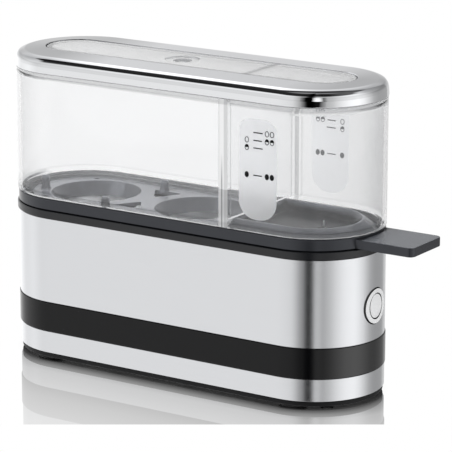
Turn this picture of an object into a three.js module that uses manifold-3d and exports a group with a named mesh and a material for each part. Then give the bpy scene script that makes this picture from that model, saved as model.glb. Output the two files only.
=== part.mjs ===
import * as THREE from 'three';
import { mergeVertices } from 'three/addons/utils/BufferGeometryUtils.js';
import Module from 'manifold-3d';

// A compact household egg boiler for two eggs, in millimetres with +Z up. X runs along the body
// towards the handle and the start button, and the front faces -Y. The base stands on four feet
// and holds the heater, the egg tray rests on the base, and the clear hood rests on the tray.

const wasm = await Module();
wasm.setup();

// Fits, and the steps that curves are made in
const fit = 0.3; // gap where two pieces meet
const slideFit = 0.4; // gap round a piece that slides
const overrun = 3; // how far a cutting shape runs past a face
const embed = 0.4; // how far two shapes of one piece run into each other
const endSteps = 16; // flats in each round end of the body
const turnSteps = 24; // flats round a turned piece
const smallSteps = 12; // flats round a screw or a pin

// Across the body, from the egg hole outwards
const eggHoleRadius = 22;
const cupWall = 1.6;
const deckMargin = 2.8; // from the egg cup to the edge of the raised deck
const gutterWidth = 4.95; // between the deck and the tray's outer band
const bandWall = 1.65;
const bodyRadius = eggHoleRadius + cupWall + deckMargin + gutterWidth + bandWall;

// Along the body, from its left round end to its right one
const cupInset = 6.1; // centre of the left round end to the first egg
const eggPitch = 61.4;
const partitionReach = 33.5; // second egg to the hood's partition
const dishStraight = 31; // partition to the centre of the right round end
const straightHalf = (cupInset + eggPitch + partitionReach + dishStraight) / 2;
const firstEggX = cupInset - straightHalf;
const secondEggX = firstEggX + eggPitch;
const partitionX = secondEggX + partitionReach;
const eggMiddleX = (firstEggX + secondEggX) / 2;

// Base plate and feet
const footShow = 1.2; // rubber that shows below the base plate
const footSeat = 0.8;
const footRadius = 6.5;
const footEdge = 0.5;
const footInset = 1.1;
const footTurn = THREE.MathUtils.degToRad(81);
const baseThickness = 2.2;
const baseInset = 0.6; // base plate's edge, in from the jacket's face
const collarHeight = 6.3; // wall that holds the jacket from inside
const collarWall = 1.8;
const coolingSlots = 5;
const coolingPitch = 9;
const coolingLength = 26;
const coolingWidth = 2.4;

// Steel jacket and the belt that is set into it
const jacketHeight = 67.5;
const jacketWall = 0.8;
const beltRise = 10.6; // jacket's lower edge to the belt
const beltHeight = 15.2;
const beltThickness = 1.2;
const beltProud = 0.4;
const beltEdge = 0.35;

// Top frame, which clamps the jacket and carries the heating pan
const rimShow = 3.7;
const rimProud = 0.66;
const rimWall = 2.8;
const deckDrop = 3.5; // rim's top to the frame's deck
const frameDeck = 2;
const spigotDepth = 7.7;
const spigotWall = 1.8;
const postRadius = 3;
const postInset = 0.94;
const postTurn = THREE.MathUtils.degToRad(45);

// Long screws from the base plate into the frame's posts
const screwRadius = 1.5;
const screwLength = 10;
const screwHeadRadius = 2.7;
const screwHeadHeight = 2;
const screwSunk = 0.7;
const screwLedge = 2; // plastic that the head pulls on
const screwBossWall = 1.5;
const screwBoreSpare = 4;

// Heating pan, its seal, and what heats it
const panClearance = 0.46; // between the pan's flange and the tray's skirt
const flangeThickness = 0.8;
const sealWidth = 1.6;
const sealHeight = 0.9;
const sealSeatDepth = 1;
const sealLedge = 0.5;
const panGap = 0.5;
const panWall = 0.8;
const panDepth = 10.5;
const panDraft = 2; // how much the wall leans in
const panCorner = 1.8;
const plateThickness = 3;
const plateRadius = 17;
const elementRadius = 3.25;
const elementPitch = 24; // between the two legs of the element
const elementTail = 18.5; // second egg's centre to the element's ends
const elementSteps = 34;
const thermostatRadius = 7;
const thermostatOffset = 9;
const fuseRadius = 1.8;
const fuseLength = 18;
const fuseOffset = 12;
const strapThickness = 1;
const strapWidth = 12;
const strapEar = 7.5;
const strapClearance = 1.9; // between the pan and the strap's legs
const earDrop = 3.7; // frame's deck to the strap's ears
const strapScrewRadius = 1.4;
const strapScrewLength = 4.5;
const strapScrewHeadRadius = 2.6;
const strapScrewHeadHeight = 1.8;

// Start button in the right round end, with its bezel and switch
const buttonRadius = 6.25;
const buttonTravel = 1.5;
const buttonProud = 0.3; // beyond the bezel
const buttonCrown = 0.5;
const buttonFlangeWidth = 1.05;
const buttonFlangeThickness = 1.5;
const bezelRadius = 9.15;
const bezelProud = 0.9; // beyond the jacket's end
const bezelNeckWall = 1.55;
const bezelDepth = 8.9;
const bezelEdge = 0.5;
const nutWidth = 1.8;
const nutThickness = 3.6;
const switchGap = 0.8; // left between the pressed button and the switch
const switchLength = 11;
const switchSide = 12;
const plungerRadius = 1.9;
const plungerLength = 4.9;

// Control board, what is on it, and the mains parts
const boardThickness = 1.6;
const boardHalfWidth = 19;
const boardLift = 4.6; // base plate to the board
const boardHeadroom = 11.7; // board to the frame's deck
const railWall = 1.5;
const railGrip = 1.5; // how far the board reaches into its rails
const railHeight = 26;
const relayLength = 16;
const relayWidth = 18;
const relayHeight = 12;
const relayDrop = 4; // board's top to the relay
const buzzerRadius = 6;
const buzzerLength = 7;
const buzzerY = 8;
const buzzerLift = 12;
const blockLength = 18;
const blockWidth = 14;
const blockHeight = 11;
const blockY = 14;
const blockWellRadius = 1.5;
const blockWellDepth = 4;
const blockWells = 3;
const glandInset = 21; // centre of the right round end to the cord gland
const glandBore = 3.4;
const glandWall = 1.3;
const glandFlangeWidth = 1.8;
const glandProud = 0.2;
const glandBarb = 1;
const glandBarbLength = 1.5;
const leadRadius = 1;
const leadSteps = 12;
const leadEnd = 3; // straight stretch at each end of a lead
const leadSag = 4;

// Egg tray
const bandHeight = 5.55;
const gutterFloor = 1.8;
const trayDeckDrop = 2.05; // band's upper edge to the deck
const trayWall = 1.8;
const skirtDepth = 3.2;
const skirtWall = 1.6;
const cupDepth = 6.8;
const cupSeatRadius = 18.5; // opening that the egg rests in
const ventApex = 5.3;
const ventBase = 18.2;
const ventHalfWidth = 8.4;
const ventCorner = 1.2;
const slotLength = 3.4;
const slotWidth = 1.6;
const slotX = 9; // beyond the centre of the left round end
const slotY = 21.2;
const pegRadius = 2.1;
const pegHeight = 6.8;
const pegDome = 1.5;
const handleReach = 27; // beyond the band
const handleHalfWidth = 13.8;
const handleThickness = 4.5;
const handleCorner = 2.9;
const handleEdge = 0.5;

// Each egg peg's place on the deck, from the middle of the two eggs: along it in shares of half
// the pitch, across it in shares of the egg hole's radius, and its height in shares of pegHeight
const pegShares = [
  { along: -1.79, across: -0.4, height: 1 },
  { along: -0.137, across: 0.923, height: 0.75 },
  { along: -0.287, across: -1.04, height: 0.75 },
];

// Raised dish for piercing an egg, in the tray's right end
const crestRise = 2.55; // band's upper edge to the dish's crest
const crestHalfWidth = 22.9;
const crestWidth = 1;
const flankFootBack = 3.5; // partition back to the foot of the dish
const crestBack = 1.5;
const crestCorner = 4;
const footCorner = 7;
const dishDepth = 7.1;
const dishWall = 1.8;
const dishNarrowing = 10.9; // crest to the flat floor, on each side
const dishDrift = 19; // crest to the flat floor, at the left
const dishShares = [
  { inward: 0, down: 0 },
  { inward: 0.2, down: 0.5 },
  { inward: 0.55, down: 0.85 },
  { inward: 1, down: 1 },
];
const needleOffset = 4.6; // beyond the centre of the right round end
const needleRadius = 0.6;
const needleShow = 3.3;
const needleSunk = 3;
const needleTip = 1.6;
const needleBossRadius = 3;
const needleBossHeight = 3;

// Hood and its chrome ring
const hoodHeight = 69.25; // hood's foot to the top of the chrome ring
const hoodProud = 0.3;
const hoodWall = 2;
const lipDepth = 1.75;
const lipWall = 1.55;
const beadHeight = 1.3;
const beadSlope = 0.6;
const ringHeight = 8.1;
const ringProud = 0.66;
const ringSkirt = 1.5;
const ringFlat = 1.7; // thickness of the ring's top
const ringCrown = 0.6; // rise from the shoulder to the opening
const ringShoulder = 4;
const ringShoulderDrop = 4.4;
const ringOpening = 15.2;
const openingStretch = 4.4; // how much further the opening runs along the ring at each end
const ringShoulderShares = [
  { inward: 0, down: 1 },
  { inward: 0.12, down: 0.55 },
  { inward: 0.44, down: 0.2 },
  { inward: 1, down: 0 },
];
const panelDrop = 0.3; // chrome ring's edge to the clear panel
const neckWall = 2;
const neckRun = 1.6; // slope below the neck
const partitionThickness = 2;
const ribBack = 1.7; // partition's middle back to the rib's edge
const ribWidth = 5.6;
const ribDepth = 1.6;
const ventHoleRadius = 4.5;
const ventRingRadius = 8.5;
const ventRingDepth = 0.6;
const ventHoleX = -8.6;

// Radii that follow from the sizes above
const jacketInner = bodyRadius - jacketWall;
const collarOuter = jacketInner - fit;
const collarInner = collarOuter - collarWall;
const baseRadius = bodyRadius - baseInset;
const grooveDepth = beltThickness - beltProud + fit;
const spigotInner = jacketInner - fit - spigotWall;
const rimRadius = bodyRadius + rimProud;
const rimInner = rimRadius - rimWall;
const skirtOuter = rimInner - fit;
const skirtInner = skirtOuter - skirtWall;
const flangeRadius = skirtInner - panClearance;
const sealInner = flangeRadius - sealWidth;
const openingRadius = sealInner - sealLedge;
const panOuter = openingRadius - panGap;
const bandInner = bodyRadius - bandWall;
const deckRadius = bandInner - gutterWidth;
const hoodRadius = bodyRadius + hoodProud;
const hoodInner = hoodRadius - hoodWall;
const lipOuter = bandInner - fit;
const lipInner = lipOuter - lipWall;
const ringRadius = bodyRadius + ringProud;
const ringInner = ringRadius - ringSkirt;
const neckOuter = ringInner - fit;
const neckInner = neckOuter - neckWall;
const panelRadius = ringOpening - fit;

// Heights that follow from the sizes above, from the surface that the feet stand on
const baseTop = footShow + baseThickness;
const jacketBottom = baseTop + fit;
const jacketTop = jacketBottom + jacketHeight;
const beltBottom = jacketBottom + beltRise;
const beltTop = beltBottom + beltHeight;
const rimBottom = jacketTop + fit;
const rimTop = rimBottom + rimShow;
const frameDeckTop = rimTop - deckDrop;
const frameDeckBottom = frameDeckTop - frameDeck;
const spigotBottom = frameDeckBottom - spigotDepth;
const sealBottom = frameDeckTop - sealSeatDepth + fit;
const flangeBottom = sealBottom + sealHeight + fit;
const flangeTop = flangeBottom + flangeThickness;
const panFloor = flangeTop - panDepth;
const panBottom = panFloor - panWall;
const plateTop = panBottom - fit;
const plateBottom = plateTop - plateThickness;
const elementZ = plateBottom - fit - elementRadius;
const strapTop = elementZ - elementRadius - fit;
const strapBottom = strapTop - strapThickness;
const earTop = frameDeckBottom - earDrop - fit;
const earBottom = earTop - strapThickness;
const buttonZ = (beltTop + spigotBottom) / 2;
const glandZ = (beltBottom + beltTop) / 2;
const bandBottom = rimTop + fit;
const bandTop = bandBottom + bandHeight;
const gutterTop = bandBottom + gutterFloor;
const trayDeckTop = bandTop - trayDeckDrop;
const trayDeckBottom = trayDeckTop - trayWall;
const crestTop = bandTop + crestRise;
const dishFloor = crestTop - dishDepth;
const hoodBottom = bandTop + fit;
const hoodTop = hoodBottom + hoodHeight;
const ringBottom = hoodTop - ringHeight;
const stepTop = ringBottom - fit;
const panelTop = hoodTop - panelDrop;
const ringUnder = hoodTop - ringCrown - ringFlat;
const coverTop = ringUnder - fit;
const partitionBottom = crestTop + fit;

// Places along the button's axis
const endFace = straightHalf + bodyRadius;
const bezelFace = endFace + bezelProud;
const bezelBack = bezelFace - bezelDepth;
const bezelBore = buttonRadius + slideFit;
const bezelNeck = bezelBore + bezelNeckWall;
const buttonFace = bezelFace + buttonProud;
const buttonBack = bezelBack - fit - buttonFlangeThickness;
const nutOuter = bezelNeck + fit + nutWidth;
const nutFront = straightHalf + Math.sqrt(jacketInner ** 2 - nutOuter ** 2) - fit;
const plungerFront = buttonBack - fit;
const plungerBack = plungerFront - plungerLength;
const switchFront = buttonBack - buttonTravel - switchGap;
const switchBack = switchFront - switchLength;
const boardFront = switchBack - fit;
const boardBack = boardFront - boardThickness;
const boardBottom = baseTop + boardLift;
const boardTop = frameDeckBottom - boardHeadroom;

// Makes a solid for joining and cutting from a closed geometry
function solid(geometry) {
  const bare = geometry.clone();
  bare.deleteAttribute('normal');
  bare.deleteAttribute('uv');
  const merged = mergeVertices(bare);
  const triangles = [];
  for (let i = 0; i < merged.index.count; i += 3) {
    const [a, b, c] = [0, 1, 2].map((k) => merged.index.getX(i + k));
    if (a !== b && b !== c && c !== a) triangles.push(a, b, c);
  }
  return new wasm.Manifold(new wasm.Mesh({
    numProp: 3,
    vertProperties: new Float32Array(merged.attributes.position.array),
    triVerts: new Uint32Array(triangles),
  }));
}

function shapeOf(body) {
  const mesh = body.getMesh();
  const geometry = new THREE.BufferGeometry();
  geometry.setAttribute('position', new THREE.BufferAttribute(mesh.vertProperties, 3));
  geometry.setIndex(new THREE.BufferAttribute(mesh.triVerts, 1));
  return geometry;
}

function join(first, ...others) {
  return shapeOf(others.reduce((sum, other) => sum.add(solid(other)), solid(first)));
}

function cut(first, ...others) {
  return shapeOf(others.reduce((rest, other) => rest.subtract(solid(other)), solid(first)));
}

function common(first, second) {
  return shapeOf(solid(first).intersect(solid(second)));
}

// Builds a geometry from rows of points, each row joined to the next one, and the last to the
// first if the rows close on themselves. Triangles that have no area are left out.
function skin(rows, closed, closedRow) {
  const position = rows.flat(2);
  const size = rows[0].length;
  const index = [];
  const same = (a, b) => [0, 1, 2].every((k) => position[3 * a + k] === position[3 * b + k]);
  const add = (a, b, c) => {
    if (!same(a, b) && !same(b, c) && !same(c, a)) index.push(a, b, c);
  };
  for (let i = 0; i < rows.length - (closed ? 0 : 1); i += 1) {
    const here = i * size;
    const next = ((i + 1) % rows.length) * size;
    for (let j = 0; j < size - (closedRow ? 0 : 1); j += 1) {
      const k = (j + 1) % size;
      add(here + j, next + j, next + k);
      add(here + j, next + k, here + k);
    }
  }
  const geometry = new THREE.BufferGeometry();
  geometry.setAttribute('position', new THREE.Float32BufferAttribute(position, 3));
  geometry.setIndex(index);
  return geometry;
}

// Carries an outline of [radius, height] points round the body's plan, or round another one
// with the given straight half. A third value on a point makes the straight half longer there.
// The outline runs up its outer side. It is a closed loop, or it starts and ends on the middle.
function roundPlan(outline, straight = straightHalf) {
  const onMiddle = outline[0][0] === 0;
  const rows = [];
  for (const side of [1, -1]) {
    for (let i = 0; i <= endSteps; i += 1) {
      const turn = Math.PI * (i / endSteps - 1 / 2);
      const [along, across] = [side * Math.cos(turn), side * Math.sin(turn)];
      rows.push(outline.map(([r, z, stretch = 0]) => [
        side * (straight + stretch) + r * along, r * across, z,
      ]));
    }
  }
  return skin(rows, true, !onMiddle);
}

// A flat slab on the body's plan
function planSlab(radius, bottom, top, straight = straightHalf) {
  return roundPlan([[0, bottom], [radius, bottom], [radius, top], [0, top]], straight);
}

// Turns an outline of [radius, height] points about the Z axis. The outline runs up its outer
// side and starts and ends on the axis, or is a loop.
function turned(outline, steps = turnSteps) {
  const loop = outline[0][0] === 0 ? outline : [...outline, outline[0]];
  const points = loop.map(([r, z]) => new THREE.Vector2(r, z));
  return new THREE.LatheGeometry(points, steps).rotateX(Math.PI / 2);
}

function rod(radius, bottom, top, steps = turnSteps) {
  return turned([[0, bottom], [radius, bottom], [radius, top], [0, top]], steps);
}

// Lays a piece made about the Z axis along X or along Y, its top pointing outwards
function alongX(geometry) {
  return geometry.rotateY(Math.PI / 2);
}

function alongY(geometry) {
  return geometry.rotateX(-Math.PI / 2);
}

function box(low, high) {
  const size = low.map((value, k) => high[k] - value);
  const middle = low.map((value, k) => (high[k] + value) / 2);
  return new THREE.BoxGeometry(...size).translate(...middle);
}

// A D-shaped ring of points: square at the left with rounded corners, a half turn at the right
function dRing(left, half, corner, z) {
  const ring = [];
  const arc = (x, y, radius, from, steps) => {
    for (let i = 0; i <= steps; i += 1) {
      const turn = from + (i / steps) * (steps === endSteps ? Math.PI : Math.PI / 2);
      ring.push([x + radius * Math.cos(turn), y + radius * Math.sin(turn), z]);
    }
  };
  arc(straightHalf, 0, half, -Math.PI / 2, endSteps);
  arc(left + corner, half - corner, corner, Math.PI / 2, endSteps / 4);
  arc(left + corner, corner - half, corner, Math.PI, endSteps / 4);
  return ring;
}

// A solid through rings of points, from the lowest ring to the highest, with flat ends
function loft(rings) {
  const end = (ring) => {
    const middle = ring[0].map((_, k) => ring.reduce((sum, point) => sum + point[k], 0) / ring.length);
    return ring.map(() => middle);
  };
  const rows = [end(rings[0]), ...rings, end(rings[rings.length - 1])];
  const columns = rows[0].map((_, j) => rows.map((row) => row[j]));
  return skin(columns, true, false);
}

// A tube along a curve, with its ends cut square
function tube(curve, radius, steps, sides) {
  const section = new THREE.Shape().absarc(0, 0, radius, 0, 2 * Math.PI, false);
  return new THREE.ExtrudeGeometry(section, { steps, curveSegments: sides / 2, extrudePath: curve });
}

function prism(shape, bottom, height, curveSegments = smallSteps / 4) {
  const depth = { depth: height, bevelEnabled: false, curveSegments };
  return new THREE.ExtrudeGeometry(shape, depth).translate(0, 0, bottom);
}

// The four places that repeat at the corners of the body
function corners(ring, turn) {
  const x = straightHalf + ring * Math.cos(turn);
  const y = ring * Math.sin(turn);
  return [[-x, -y], [x, -y], [x, y], [-x, y]];
}

const footRing = baseRadius - footRadius - footInset;
const footPlaces = corners(footRing, footTurn);
const postRing = collarInner - postRadius - postInset;
const postPlaces = corners(postRing, postTurn);
const boreRadius = screwRadius + fit;
const headRoom = screwHeadRadius + fit;
const headTop = footShow + screwSunk + screwHeadHeight;
const ledgeBottom = headTop + fit;
const bossTop = ledgeBottom + screwLedge;
const postBottom = bossTop + fit;

function screw(headRadius, headHeight, radius, length) {
  return turned([
    [0, -headHeight], [headRadius, -headHeight], [headRadius, 0],
    [radius, 0], [radius, length - radius], [0, length],
  ], smallSteps);
}

function makeFoot() {
  const top = footShow + footSeat;
  return turned([
    [0, 0], [footRadius - footEdge, 0], [footRadius, footEdge], [footRadius, top], [0, top],
  ]);
}

// Board rails stand on the base plate and hold the board's two side edges
function makeRails() {
  const back = boardBack - fit - railWall;
  const front = boardFront + fit + railWall;
  const grooveBottom = boardBottom - fit;
  const inner = boardHalfWidth - railGrip;
  const outer = boardHalfWidth + fit + railWall;
  return [1, -1].map((side) => cut(
    box([back, Math.min(side * inner, side * outer), baseTop - embed],
      [front, Math.max(side * inner, side * outer), baseTop + railHeight]),
    box([boardBack - fit, -boardHalfWidth - fit, grooveBottom],
      [boardFront + fit, boardHalfWidth + fit, baseTop + railHeight + overrun]),
  ));
}

function makeBasePlate() {
  const plate = roundPlan([
    [0, footShow], [baseRadius, footShow], [baseRadius, baseTop], [collarOuter, baseTop],
    [collarOuter, baseTop + collarHeight], [collarInner, baseTop + collarHeight],
    [collarInner, baseTop], [0, baseTop],
  ]);
  const bosses = postPlaces.map(([x, y]) => (
    rod(headRoom + screwBossWall, baseTop - embed, bossTop, smallSteps).translate(x, y, 0)));
  const heads = postPlaces.map(([x, y]) => (
    rod(headRoom, footShow - overrun, ledgeBottom, smallSteps).translate(x, y, 0)));
  const bores = postPlaces.map(([x, y]) => (
    rod(boreRadius, footShow, bossTop + overrun, smallSteps).translate(x, y, 0)));
  const seats = footPlaces.map(([x, y]) => (
    rod(footRadius + fit, footShow - overrun, footShow + footSeat + fit).translate(x, y, 0)));
  const slots = [];
  for (let i = 0; i < coolingSlots; i += 1) {
    const x = eggMiddleX + (i - (coolingSlots - 1) / 2) * coolingPitch;
    slots.push(box([x - coolingWidth / 2, -coolingLength / 2, footShow - overrun],
      [x + coolingWidth / 2, coolingLength / 2, baseTop + overrun]));
  }
  return cut(join(plate, ...bosses, ...makeRails()), ...heads, ...bores, ...seats, ...slots);
}

function makeJacket() {
  const groove = bodyRadius - grooveDepth;
  const wall = roundPlan([
    [jacketInner, jacketBottom], [bodyRadius, jacketBottom], [bodyRadius, beltBottom],
    [groove, beltBottom], [groove, beltTop], [bodyRadius, beltTop], [bodyRadius, jacketTop],
    [jacketInner, jacketTop], [jacketInner, beltTop + jacketWall],
    [groove - jacketWall, beltTop + jacketWall], [groove - jacketWall, beltBottom - jacketWall],
    [jacketInner, beltBottom - jacketWall],
  ]);
  const buttonHole = alongX(rod(bezelNeck + fit, straightHalf, endFace + overrun))
    .translate(0, 0, buttonZ);
  const glandHole = alongY(rod(glandBore + glandWall + fit, 0, bodyRadius + overrun))
    .translate(straightHalf - glandInset, 0, glandZ);
  return cut(wall, buttonHole, glandHole);
}

function makeBelt() {
  const outer = bodyRadius + beltProud;
  const inner = bodyRadius - grooveDepth + fit;
  const [bottom, top] = [beltBottom + fit, beltTop - fit];
  const band = roundPlan([
    [inner, bottom], [outer - beltEdge, bottom], [outer, bottom + beltEdge],
    [outer, top - beltEdge], [outer - beltEdge, top], [inner, top],
  ]);
  const reach = glandBore + glandWall + glandFlangeWidth + fit;
  const hole = alongY(rod(reach, 0, outer + overrun)).translate(straightHalf - glandInset, 0, glandZ);
  return cut(band, hole);
}

// Places of the strap under the heater, from the round ends of the pan
const panStraight = eggPitch / 2;
const legLeft = eggMiddleX - panStraight - panOuter - strapClearance;
const legRight = eggMiddleX + panStraight + panOuter + strapClearance;
const earScrews = [legLeft - strapEar / 2, legRight + strapEar / 2];
const earBore = strapScrewRadius + fit;

function makeTopFrame() {
  const body = roundPlan([
    [0, frameDeckBottom], [spigotInner, frameDeckBottom], [spigotInner, spigotBottom],
    [jacketInner - fit, spigotBottom], [jacketInner - fit, rimBottom], [rimRadius, rimBottom],
    [rimRadius, rimTop], [rimInner, rimTop], [rimInner, frameDeckTop], [0, frameDeckTop],
  ]);
  const posts = postPlaces.map(([x, y]) => (
    rod(postRadius, postBottom, frameDeckBottom + embed, smallSteps).translate(x, y, 0)));
  const bosses = earScrews.map((x) => (
    rod(postRadius, earTop + fit, frameDeckBottom + embed, smallSteps).translate(x, 0, 0)));
  const opening = planSlab(openingRadius, frameDeckBottom - overrun, frameDeckTop + overrun, panStraight)
    .translate(eggMiddleX, 0, 0);
  const seat = planSlab(flangeRadius + fit, sealBottom - fit, frameDeckTop + overrun, panStraight)
    .translate(eggMiddleX, 0, 0);
  const boreTop = headTop + screwLength + screwBoreSpare;
  const bores = postPlaces.map(([x, y]) => (
    rod(boreRadius, postBottom - overrun, boreTop, smallSteps).translate(x, y, 0)));
  const earBores = earScrews.map((x) => (
    rod(earBore, earBottom - overrun, frameDeckBottom, smallSteps).translate(x, 0, 0)));
  return cut(join(body, ...posts, ...bosses), opening, seat, ...bores, ...earBores);
}

function makePan() {
  const low = panOuter - panDraft;
  return roundPlan([
    [0, panBottom], [low - panCorner, panBottom], [low, panBottom + panCorner],
    [panOuter, flangeBottom], [flangeRadius, flangeBottom], [flangeRadius, flangeTop],
    [panOuter - panWall, flangeTop], [low - panWall, panFloor + panCorner],
    [low - panWall - panCorner, panFloor], [0, panFloor],
  ], panStraight).translate(eggMiddleX, 0, 0);
}

function makeSeal() {
  return roundPlan([
    [sealInner, sealBottom], [flangeRadius, sealBottom], [flangeRadius, sealBottom + sealHeight],
    [sealInner, sealBottom + sealHeight],
  ], panStraight).translate(eggMiddleX, 0, 0);
}

function makeHeaterPlate() {
  return planSlab(plateRadius, plateBottom, plateTop, panStraight).translate(eggMiddleX, 0, 0);
}

// The element is a hairpin: out along one leg, half a turn, and back along the other
const elementEndX = secondEggX + elementTail;

function makeElement() {
  const bend = new THREE.Vector3(firstEggX, 0, elementZ);
  const leg = (side) => new THREE.Vector3(0, (side * elementPitch) / 2, 0);
  const tail = new THREE.Vector3(elementEndX - firstEggX, 0, 0);
  const turn = new THREE.Vector3(-elementPitch / 2, 0, 0);
  const quarter = (side) => turn.clone().add(leg(side)).multiplyScalar(Math.SQRT1_2).add(bend);
  const curve = new THREE.CatmullRomCurve3([
    leg(1).add(bend).add(tail), leg(1).add(bend).addScaledVector(tail, 1 / 2), leg(1).add(bend),
    quarter(1), turn.clone().add(bend), quarter(-1),
    leg(-1).add(bend), leg(-1).add(bend).addScaledVector(tail, 1 / 2), leg(-1).add(bend).add(tail),
  ]);
  return tube(curve, elementRadius, elementSteps, 8);
}

function makeThermostat() {
  return rod(thermostatRadius, strapTop + fit, plateBottom - fit)
    .translate(eggMiddleX + thermostatOffset, 0, 0);
}

function makeFuse() {
  return alongX(rod(fuseRadius, -fuseLength / 2, fuseLength / 2, smallSteps))
    .translate(eggMiddleX - fuseOffset, 0, plateBottom - fit - fuseRadius);
}

// One bent strip: two ears under the frame's bosses, two legs, and the bar below the element
function makeStrap() {
  const shape = new THREE.Shape([
    [legLeft - strapEar, earBottom], [legLeft - strapThickness, earBottom],
    [legLeft - strapThickness, strapBottom], [legRight + strapThickness, strapBottom],
    [legRight + strapThickness, earBottom], [legRight + strapEar, earBottom],
    [legRight + strapEar, earTop], [legRight, earTop], [legRight, strapTop],
    [legLeft, strapTop], [legLeft, earTop], [legLeft - strapEar, earTop],
  ].map(([x, z]) => new THREE.Vector2(x, z)));
  const strip = prism(shape, -strapWidth / 2, strapWidth).rotateX(Math.PI / 2);
  const holes = earScrews.map((x) => (
    rod(earBore, earBottom - overrun, earTop + overrun, smallSteps).translate(x, 0, 0)));
  return cut(strip, ...holes);
}

// The bezel's flange is hollowed at the back to lie on the jacket's round end
function makeBezel() {
  const flange = alongX(turned([
    [0, straightHalf], [bezelRadius, straightHalf], [bezelRadius, bezelFace - bezelEdge],
    [bezelRadius - bezelEdge, bezelFace], [0, bezelFace],
  ])).translate(0, 0, buttonZ);
  const jacket = rod(bodyRadius + fit, buttonZ - bodyRadius, buttonZ + bodyRadius, 4 * endSteps)
    .translate(straightHalf, 0, 0);
  const neck = alongX(rod(bezelNeck, bezelBack, bezelFace - bezelEdge)).translate(0, 0, buttonZ);
  const bore = alongX(rod(bezelBore, bezelBack - overrun, bezelFace + overrun)).translate(0, 0, buttonZ);
  return cut(join(cut(flange, jacket), neck), bore);
}

function makeNut() {
  return alongX(turned([
    [bezelNeck + fit, nutFront - nutThickness], [nutOuter, nutFront - nutThickness],
    [nutOuter, nutFront], [bezelNeck + fit, nutFront],
  ], smallSteps)).translate(0, 0, buttonZ);
}

function makeButton() {
  const flange = buttonRadius + buttonFlangeWidth;
  return alongX(turned([
    [0, buttonBack], [flange, buttonBack], [flange, buttonBack + buttonFlangeThickness],
    [buttonRadius, buttonBack + buttonFlangeThickness], [buttonRadius, buttonFace - buttonCrown],
    [buttonRadius - buttonCrown, buttonFace], [0, buttonFace],
  ])).translate(0, 0, buttonZ);
}

function makePlunger() {
  return alongX(rod(plungerRadius, plungerBack, plungerFront, smallSteps)).translate(0, 0, buttonZ);
}

function makeSwitch() {
  const half = switchSide / 2;
  const body = box([switchBack, -half, buttonZ - half], [switchFront, half, buttonZ + half]);
  const boreEnd = plungerBack - buttonTravel - fit;
  const bore = alongX(rod(plungerRadius + slideFit, boreEnd, switchFront + overrun, smallSteps))
    .translate(0, 0, buttonZ);
  return cut(body, bore);
}

function makeBoard() {
  return box([boardBack, -boardHalfWidth, boardBottom], [boardFront, boardHalfWidth, boardTop]);
}

function makeRelay() {
  const front = boardBack - fit;
  const top = boardTop - relayDrop;
  return box([front - relayLength, -relayWidth / 2, top - relayHeight], [front, relayWidth / 2, top]);
}

function makeBuzzer() {
  const front = boardBack - fit;
  return alongX(rod(buzzerRadius, front - buzzerLength, front, smallSteps))
    .translate(0, buzzerY, boardBottom + buzzerLift);
}

const blockX = straightHalf - glandInset;
const blockBottom = baseTop + fit;
const blockTop = blockBottom + blockHeight;

function makeBlock() {
  const body = box([blockX - blockLength / 2, blockY - blockWidth / 2, blockBottom],
    [blockX + blockLength / 2, blockY + blockWidth / 2, blockTop]);
  const wells = [];
  for (let i = 0; i < blockWells; i += 1) {
    const along = (i - (blockWells - 1) / 2) * (blockLength / blockWells);
    wells.push(rod(blockWellRadius, blockTop - blockWellDepth, blockTop + overrun, smallSteps)
      .translate(blockX + along, blockY, 0));
  }
  return cut(body, ...wells);
}

// The gland snaps into the jacket from outside, and its flange lies in the belt's hole
function makeGland() {
  const neck = glandBore + glandWall;
  const face = bodyRadius - grooveDepth;
  const back = face - jacketWall - fit;
  const front = bodyRadius + beltProud + glandProud;
  return alongY(turned([
    [glandBore, back - glandBarbLength], [neck, back - glandBarbLength], [neck + glandBarb, back],
    [neck, back], [neck, face + fit], [neck + glandFlangeWidth, face + fit],
    [neck + glandFlangeWidth, front], [glandBore, front],
  ])).translate(straightHalf - glandInset, 0, glandZ);
}

// A lead leaves its start and reaches its end in straight stretches, and sags in between
function makeLead(start, startWay, end, endWay, sag) {
  const a = new THREE.Vector3(...start);
  const b = new THREE.Vector3(...end);
  const aOut = a.clone().addScaledVector(new THREE.Vector3(...startWay), leadEnd);
  const bOut = b.clone().addScaledVector(new THREE.Vector3(...endWay), leadEnd);
  const middle = aOut.clone().add(bOut).multiplyScalar(1 / 2);
  middle.z -= sag;
  const curve = new THREE.CatmullRomCurve3([a, aOut, middle, bOut, b]);
  return tube(curve, leadRadius, leadSteps, 6);
}

const boardFaceX = boardBack - fit;
const leadY = elementPitch / 2;

function makeSupplyLead() {
  const start = [blockX + blockLength / 2 + fit, blockY, (blockBottom + blockTop) / 2];
  const end = [boardFaceX, buzzerY, boardBottom + leadSag];
  return makeLead(start, [1, 0, 0], end, [-1, 0, 0], 0);
}

function makeHeaterLead(side) {
  const start = [elementEndX + fit, side * leadY, elementZ];
  const end = [boardFaceX, side * leadY, elementZ - leadSag];
  return makeLead(start, [1, 0, 0], end, [-1, 0, 0], leadSag);
}

function makeEarthLead() {
  const start = [elementEndX, 0, strapBottom - fit];
  const end = [blockX, blockY - blockWidth / 4, blockTop + fit];
  return makeLead(start, [0, 0, -1], end, [0, 0, 1], 0);
}

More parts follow.
